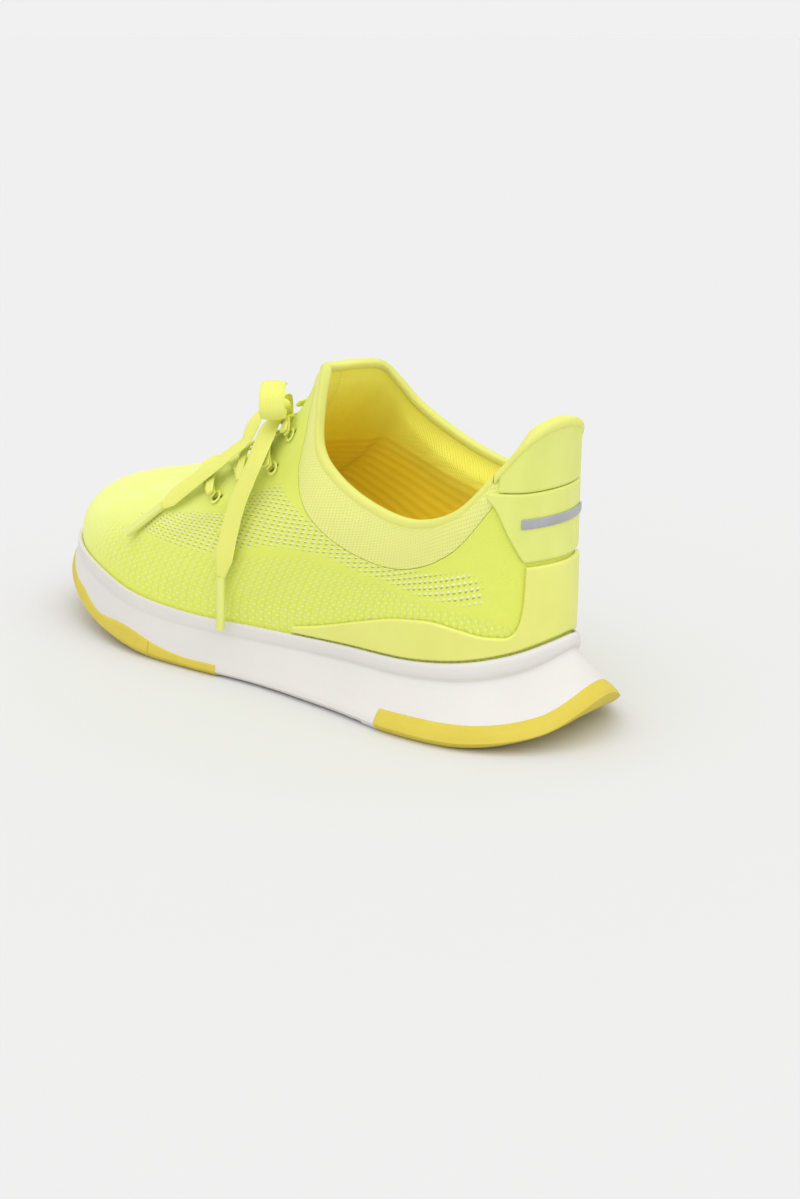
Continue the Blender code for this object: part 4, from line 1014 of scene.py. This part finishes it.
foot = STROBEL + 2 * GAP
low = np.maximum(upper.length - side_value(LINING_REACH, upper.at), foot)
runs = rows_between(low, under_binding(upper), LINING_ROWS)
cloth = flat_cloth(upper, runs)
below = upper.length[:, None] - runs
close = 1 - fade(below, BINDING_HEIGHT, 0.011)
ridge = RIDGE_START[1] + (cloth[..., 0] - RIDGE_START[0]) * RIDGE_SLOPE - cloth[..., 1]
ridged = fade(ridge, 0, 0.0015) * fade(upper.at, 14.5, 15.5)[:, None]
arches = ridged * (0.5 + 0.5 * np.sin(ridge * 2 * math.pi / RIDGE_SPACING))
rear = fade(mirrored(upper.at), 3.2, 6.0)[:, None]
wide_folds = np.sin(cloth[..., 0] / 0.0065 + 2 * np.sin(cloth[..., 1] / 0.012))
fine_folds = np.sin(cloth[..., 0] / 0.0031 + cloth[..., 1] / 0.009)
folds = (wide_folds * 0.35 + fine_folds * 0.15) * FOLD_DEPTH * rear
swell = np.sin(np.linspace(0, math.pi, LINING_ROWS))[None] ** 0.5 * (1 - ridged)
inner_depth = KNIT + padding_depth(upper, runs) + GAP + LINING - folds * swell + arches * RIDGE_HEIGHT
inner_depth = inner_depth * (1 - close) + (KNIT + GAP + LINING) * close
masks = {"edge": 1 - fade(below, 0.004, 0.034), "ridged": ridged, "arches": arches}
thin = upper.place(runs, KNIT + GAP)
collar_lining = make_sheet("collar_lining", thin, upper.place(runs, inner_depth), lining.material, cloth,
                           masks, closed=True)
settle(collar_lining, ["collar_lining", "collar_foam"])

# %% [markdown]
# Two stiffeners hide in the layers: a cup round the heel and a thin sheet in the toe. The cup is
# drawn as a thin shell, because the lining lies right against it.

# %% Stiffeners
cup = Upper(np.arange(6.34, 15.7, 1 / FINE))
runs = rows_between(np.full(len(cup.at), foot), cup.length - side_value(FOAM_REACH, cup.at) - GAP, 12)
heel_counter = make_sheet("heel_counter", cup.place(runs, KNIT + GAP), cup.place(runs, KNIT + GAP + COUNTER),
                          stiffener.material, flat_cloth(cup, runs))
settle(heel_counter, ["heel_counter"])
front = Upper(np.arange(-2.34, 2.35, 1 / FINE))
top = seam_run(front) - GAP / 2
runs = rows_between(top * 0.05, top * 0.32, 12)
toe_puff = make_sheet("toe_puff", front.place(runs, KNIT + GAP), front.place(runs, KNIT + GAP + PUFF),
                      stiffener.material, flat_cloth(front, runs))
settle(toe_puff, ["toe_puff"], bends=True)

# %% [markdown]
# ## Heel
# A moulded wrap runs round the heel with wings up its sides. Above it lie a film panel, a
# reflective strip and the pull tab.

# %% Heel pieces
OVERLAY, PANEL, REFLECTOR = 0.0014, 0.001, 0.0004
WING_EDGE = [(6.35, 26.5), (6.7, 30), (7.1, 35), (7.6, 40), (8.1, 41.5), (8.6, 40), (9.1, 38.2), (9.45, 38),
             (9.65, 40), (9.78, 45), (9.86, 53), (9.9, 63.5), (11, 63.5)]
PANEL_EDGE = [(8.75, 87.5), (9.0, 84), (9.3, 77.5), (9.6, 70.5), (9.9, 65), (11, 65)]
FOLD_LINE, REFLECTOR_MIDDLE, REFLECTOR_HEIGHT = 0.090, 0.079, 0.0034
EDGE_ROUND = 0.0009


def side_table(table, at):
    """A table by station, the same on both sides, in metres."""
    return table_at(table, mirrored(at)) * MM


def close_rows(rows):
    """Shares from 0 to 1, closer together at both ends."""
    return 0.5 - 0.5 * np.cos(np.linspace(0, math.pi, rows))


def rounded_plate(name, at, low, high, lift, thickness, material, rows=26):
    """A plate on the upper whose outer face rounds off to its edges."""
    sheet = Upper(at)
    low, high = low(sheet), high(sheet)
    runs = low[:, None] + (high - low)[:, None] * close_rows(rows)[None]
    outer = sheet.place(runs, -lift - thickness)
    up = np.minimum(runs - low[:, None], high[:, None] - runs)
    steps = np.linalg.norm(np.diff(outer, axis=0), axis=2)
    ahead = np.concatenate([np.zeros((1, rows)), np.cumsum(steps, 0)])
    edge = np.minimum(up, np.minimum(ahead, ahead[-1] - ahead))
    crown = np.sqrt(1 - (1 - np.clip(edge / EDGE_ROUND, 0, 1)) ** 2)
    outer = sheet.place(runs, -lift - thickness * (0.25 + 0.75 * crown))
    return make_sheet(name, outer, sheet.place(runs, -lift), material, flat_cloth(sheet, runs))


def evenly(first, last, step=1 / 30):
    """Places from first to last, closer together at both ends."""
    count = int((last - first) / step)
    return first + (last - first) * close_rows(count)


def rim_run(sheet):
    return sheet.run_at_height(curve_at(RIM, sheet.at) + 3 * GAP)


def wing_top(sheet):
    return np.maximum(sheet.run_at_height(side_table(WING_EDGE, sheet.at)), rim_run(sheet) + 0.002)


def fold_run(sheet):
    return sheet.run_at_height(FOLD_LINE)


def panel_foot(sheet):
    return sheet.run_at_height(side_table(PANEL_EDGE, sheet.at))


def strip_edge(sheet, side):
    return sheet.run_at_height(REFLECTOR_MIDDLE) + side * REFLECTOR_HEIGHT / 2


heel_wrap = rounded_plate("heel_overlay", evenly(6.35, 15.65), rim_run, wing_top, GAP, OVERLAY,
                          overlay.material)
settle(heel_wrap, ["heel_overlay"])
panel = rounded_plate("heel_panel", evenly(8.75, 13.25), panel_foot, lambda sheet: fold_run(sheet) - GAP,
                      GAP, PANEL, heel_film.material)
settle(panel, ["heel_panel"])
tab = rounded_plate("heel_tab", evenly(9.03, 12.97), fold_run, under_binding, GAP, PANEL, heel_film.material)
settle(tab, ["heel_tab"])
strip = rounded_plate("heel_reflector", evenly(9.75, 12.25), lambda sheet: strip_edge(sheet, -1),
                      lambda sheet: strip_edge(sheet, 1), 2 * GAP + PANEL, REFLECTOR,
                      reflective.material, rows=12)
settle(strip, ["heel_reflector"])

# %% [markdown]
# ## Bindings
# A knitted tape is folded over the edge of the opening. It is thin at the front and thicker round
# the heel tab.

# %% Bound edge
BINDING_SIDES = 18


def bound_edge(name, at, outside, material, nodes):
    """A folded tape round a stretch of the opening's edge."""
    sheet = Upper(at)
    runs = sheet.length[:, None]
    inside = KNIT + GAP + LINING + GAP
    turns = np.arange(BINDING_SIDES) / BINDING_SIDES * 2 * math.pi
    wide = np.sign(np.cos(turns)) * np.abs(np.cos(turns)) ** 0.7
    tall = np.sign(np.sin(turns)) * np.abs(np.sin(turns)) ** 0.8
    depth = (inside - outside) / 2 + wide[None] * (inside + outside) / 2
    height = runs - BINDING_HEIGHT / 2 - GAP + tall[None] * (BINDING_HEIGHT / 2 + GAP)
    depth = np.broadcast_to(depth, height.shape)
    rings = sheet.place(height, depth)
    cloth = np.stack([np.broadcast_to(sheet.around()[:, None], depth.shape), depth + height], -1)
    made = make_tube(name, rings, material, cloth)
    return settle(made, nodes)


bound_edge("topline_binding", evenly(-8.86, 8.86), GAP, binding.material, ["topline_binding"])
bound_edge("heel_tab_binding", evenly(8.9, 13.1), GAP + PANEL + BINDING_PROUD, binding.material,
           ["heel_tab_binding"])

# %% [markdown]
# ## Lacing
# Four holes on each side. A bar joins the first pair, crossings join the rest, and the knot closes
# them with two loops.

# %% Lace holes
EYELET_RADIUS, EYELET_HOLE, EYELET_LIFT, EYELET_THICK = 0.003, 0.0017, 0.0005, 0.0005


def spot(station, share):
    """Point and outward vector on the upper, at a share of the way up its line."""
    line = Upper([station])
    run = np.array([[share * line.length[0]]])
    point = line.place(run)[0, 0]
    return point, unit(point - line.place(run, 0.001)[0, 0])


def medial(place):
    return -place[0], place[1]


def make_eyelet(name, place):
    """A pressed ring round a lace hole."""
    middle, normal = spot(*place)
    ahead = unit(np.cross(normal, (1.0, 0.0, 0.0)))
    aside = np.cross(ahead, normal)
    turns = np.arange(32) / 32 * 2 * math.pi
    circle = np.outer(np.cos(turns), ahead) + np.outer(np.sin(turns), aside)
    angles = np.arange(10) / 10 * 2 * math.pi
    reach = (EYELET_RADIUS + EYELET_HOLE) / 2 + np.cos(angles) * (EYELET_RADIUS - EYELET_HOLE) / 2
    lift = EYELET_LIFT + EYELET_THICK / 2 + np.sin(angles) * EYELET_THICK / 2
    rings = middle + circle[:, None] * reach[None, :, None] + normal * lift[None, :, None]
    cloth = np.stack([np.broadcast_to(turns[:, None] * EYELET_RADIUS, (32, 10)),
                      np.broadcast_to(reach[None], (32, 10))], -1)
    return settle(make_tube(name, rings, eyelet_film.material, cloth, closed=True), [name])


for row, place in enumerate(EYELETS, 1):
    make_eyelet(f"eyelet_lateral_{row}", place)
    make_eyelet(f"eyelet_medial_{row}", medial(place))

# %% Crossings
CROSSING_WIDTH, LACE_LOW, LACE_STEP, BAR_BEND = 0.0046, 0.0022, 0.0016, 0.03
CROSSING_DROPS = [(0.2, 0.36), (0.18, 0.32), (0.21, 0.28)]
KNOT_PLACE, KNOT_LIFT = (0.9, 0.838), 0.0082
TIE_ENDS = [(2.3, 0.8525), (0.2, 0.852)]


def over_upper(name, start, end, heights, bend=0.0):
    """A stretch of bunched lace over the upper, with its heights at even steps along it."""
    steps = 60
    share = np.linspace(0, 1, steps)
    places = np.linspace(start, end, steps)
    places[:, 1] -= np.sin(share * math.pi) * bend
    heights = np.interp(share, np.linspace(0, 1, len(heights)), heights)
    spots = [spot(*place) for place in places]
    route = np.array([point + normal * height for (point, normal), height in zip(spots, heights)])
    normals = np.array([normal for point, normal in spots])
    across = np.cross(normals, np.gradient(route, axis=0))
    widths = np.interp(share, (0, 0.05, 0.2, 0.5, 0.8, 0.95, 1), (0.7, 0.95, 1.02, 0.96, 1.02, 0.95, 0.7))
    made = make_strip(name, route, across, widths * CROSSING_WIDTH, LACE_THICKNESS, yarn.material)
    return settle(made, [name])


second = LACE_LOW + LACE_STEP
third = second + LACE_STEP
steps = np.linspace(0, 1, 14)
over_upper("lace_bar", EYELETS[0], medial(EYELETS[0]), np.full(14, LACE_LOW), BAR_BEND)
for row, (here, beyond, drop) in enumerate(zip(EYELETS, EYELETS[1:], CROSSING_DROPS), 1):
    late = np.interp(steps, (1 - drop[1], 1 - drop[0]), (second, LACE_LOW))
    early = np.interp(steps, drop, (second, LACE_LOW))
    over_upper(f"lace_over_{row}", here, medial(beyond), late)
    over_upper(f"lace_under_{row}", medial(here), beyond, early)
over_upper("lace_tie_lateral", EYELETS[-1], TIE_ENDS[0], np.full(5, second))
rising = np.interp(np.linspace(0, 1, 9), (0, 0.4), (second, third))
over_upper("lace_tie_medial", medial(EYELETS[-1]), TIE_ENDS[1], rising)

# %% Bow
KNOT_SIZE = np.array((0.011, 0.009, 0.0064))
BOW_LOOPS = {
    "bow_loop_lateral": ((-0.78, -0.63), [(6.3, 0.4), (11, 0.8), (16, 0.9), (21, -0.1), (25, 0.4), (27, 3.6),
                                          (25.5, 8.4), (21, 11.2), (15, 12), (10, 9.8), (7, 5.8)]),
    "bow_loop_medial": ((0.75, 0.66), [(6.3, -1), (11, -3.5), (16, -7), (21, -10.5), (25, -11.5), (27.5, -8.5),
                                       (26, -4), (21, -0.5), (15, 1.5), (10, 2.7), (6.5, 2.5)])}
LOOP_STEPS, LOOP_CURL = 110, 0.04
point, normal = spot(*KNOT_PLACE)
knot_middle = point + normal * KNOT_LIFT


def make_knot():
    """The knot: a round core with the lace wrapped over it."""
    rings, sides = 40, 48
    lift = np.linspace(-0.999, 0.999, rings)
    turns = np.arange(sides) / sides * 2 * math.pi
    wraps = 1 + 0.05 * np.sin(lift[:, None] * 9 + turns[None]) + 0.03 * np.cos(2 * turns[None])
    round_off = np.sqrt(1 - lift ** 2)[:, None] * wraps
    shape = np.stack([np.broadcast_to(lift[:, None], (rings, sides)), round_off * np.cos(turns),
                      round_off * np.sin(turns)], -1) * 0.5 * KNOT_SIZE / (1, 1.08, 1.08)
    cloth = np.stack([np.broadcast_to(turns[None] * 0.004, (rings, sides)),
                      np.broadcast_to(lift[:, None] * 0.005, (rings, sides))], -1)
    knot = make_tube("lace_knot", shape + knot_middle, yarn.material, cloth)
    return settle(knot, ["lace_knot"])


make_knot()
for name, (heading, loop) in BOW_LOOPS.items():
    points = [knot_middle / MM + np.array((heading[0] * out, heading[1] * out, up)) for out, up in loop]
    route = smooth_route(points, LOOP_STEPS)
    widths = np.interp(np.linspace(0, 1, len(route)), (0, 0.15, 0.85, 1), (0.5, 1, 1, 0.5)) * LACE_WIDTH
    bow = make_strip(name, route, (heading[1], -heading[0], 0), widths, LACE_THICKNESS, yarn.material,
                     LOOP_CURL)
    settle(bow, [name])

# %% [markdown]
# ## Studio
# A pale floor that runs off into an even backdrop, a wide soft light overhead and a weaker one from
# the rear quarter.

# %% Floor and lights
FLOOR_SHADE, FLOOR_SPECKLE = 0.72, 0.002
BACKDROP = (0.88, 0.88, 0.88, 1)
floor_finish = Finish("studio_floor", (FLOOR_SHADE,) * 3, 0.9, Specular_IOR_Level=0.1)
speckle = floor_finish.noise(40)
dark, pale = (FLOOR_SHADE - FLOOR_SPECKLE,) * 3, (FLOOR_SHADE + FLOOR_SPECKLE,) * 3
floor_finish.feed("Base Color", floor_finish.blend(speckle, dark, pale))
FLOOR_REACH = 80.0
corners = np.array([(-1, -1, 0), (1, -1, 0), (1, 1, 0), (-1, 1, 0)], float) * FLOOR_REACH
floor = make_mesh("floor", corners, [(0, 1, 2, 3)], floor_finish.material, corners)

world = bpy.data.worlds.new("studio")
world.use_nodes = True
world.node_tree.nodes["Background"].inputs["Color"].default_value = BACKDROP
world.node_tree.nodes["Background"].inputs["Strength"].default_value = 1.0
bpy.context.scene.world = world


def far_light(name, toward, spread, power):
    """A wide, even light that comes from far off."""
    light = bpy.data.lights.new(name, "SUN")
    light.angle = math.radians(spread)
    light.energy = power
    made = bpy.data.objects.new(name, light)
    bpy.context.scene.collection.objects.link(made)
    made.rotation_euler = Vector(toward).to_track_quat("-Z", "Y").to_euler()
    print("light", name, power)


far_light("overhead", (0.3, 0.3, -1.0), 70, 1.05)
far_light("rear_side", (0.9, 0.8, -0.8), 50, 0.12)
bpy.context.scene.view_settings.view_transform = "Standard"
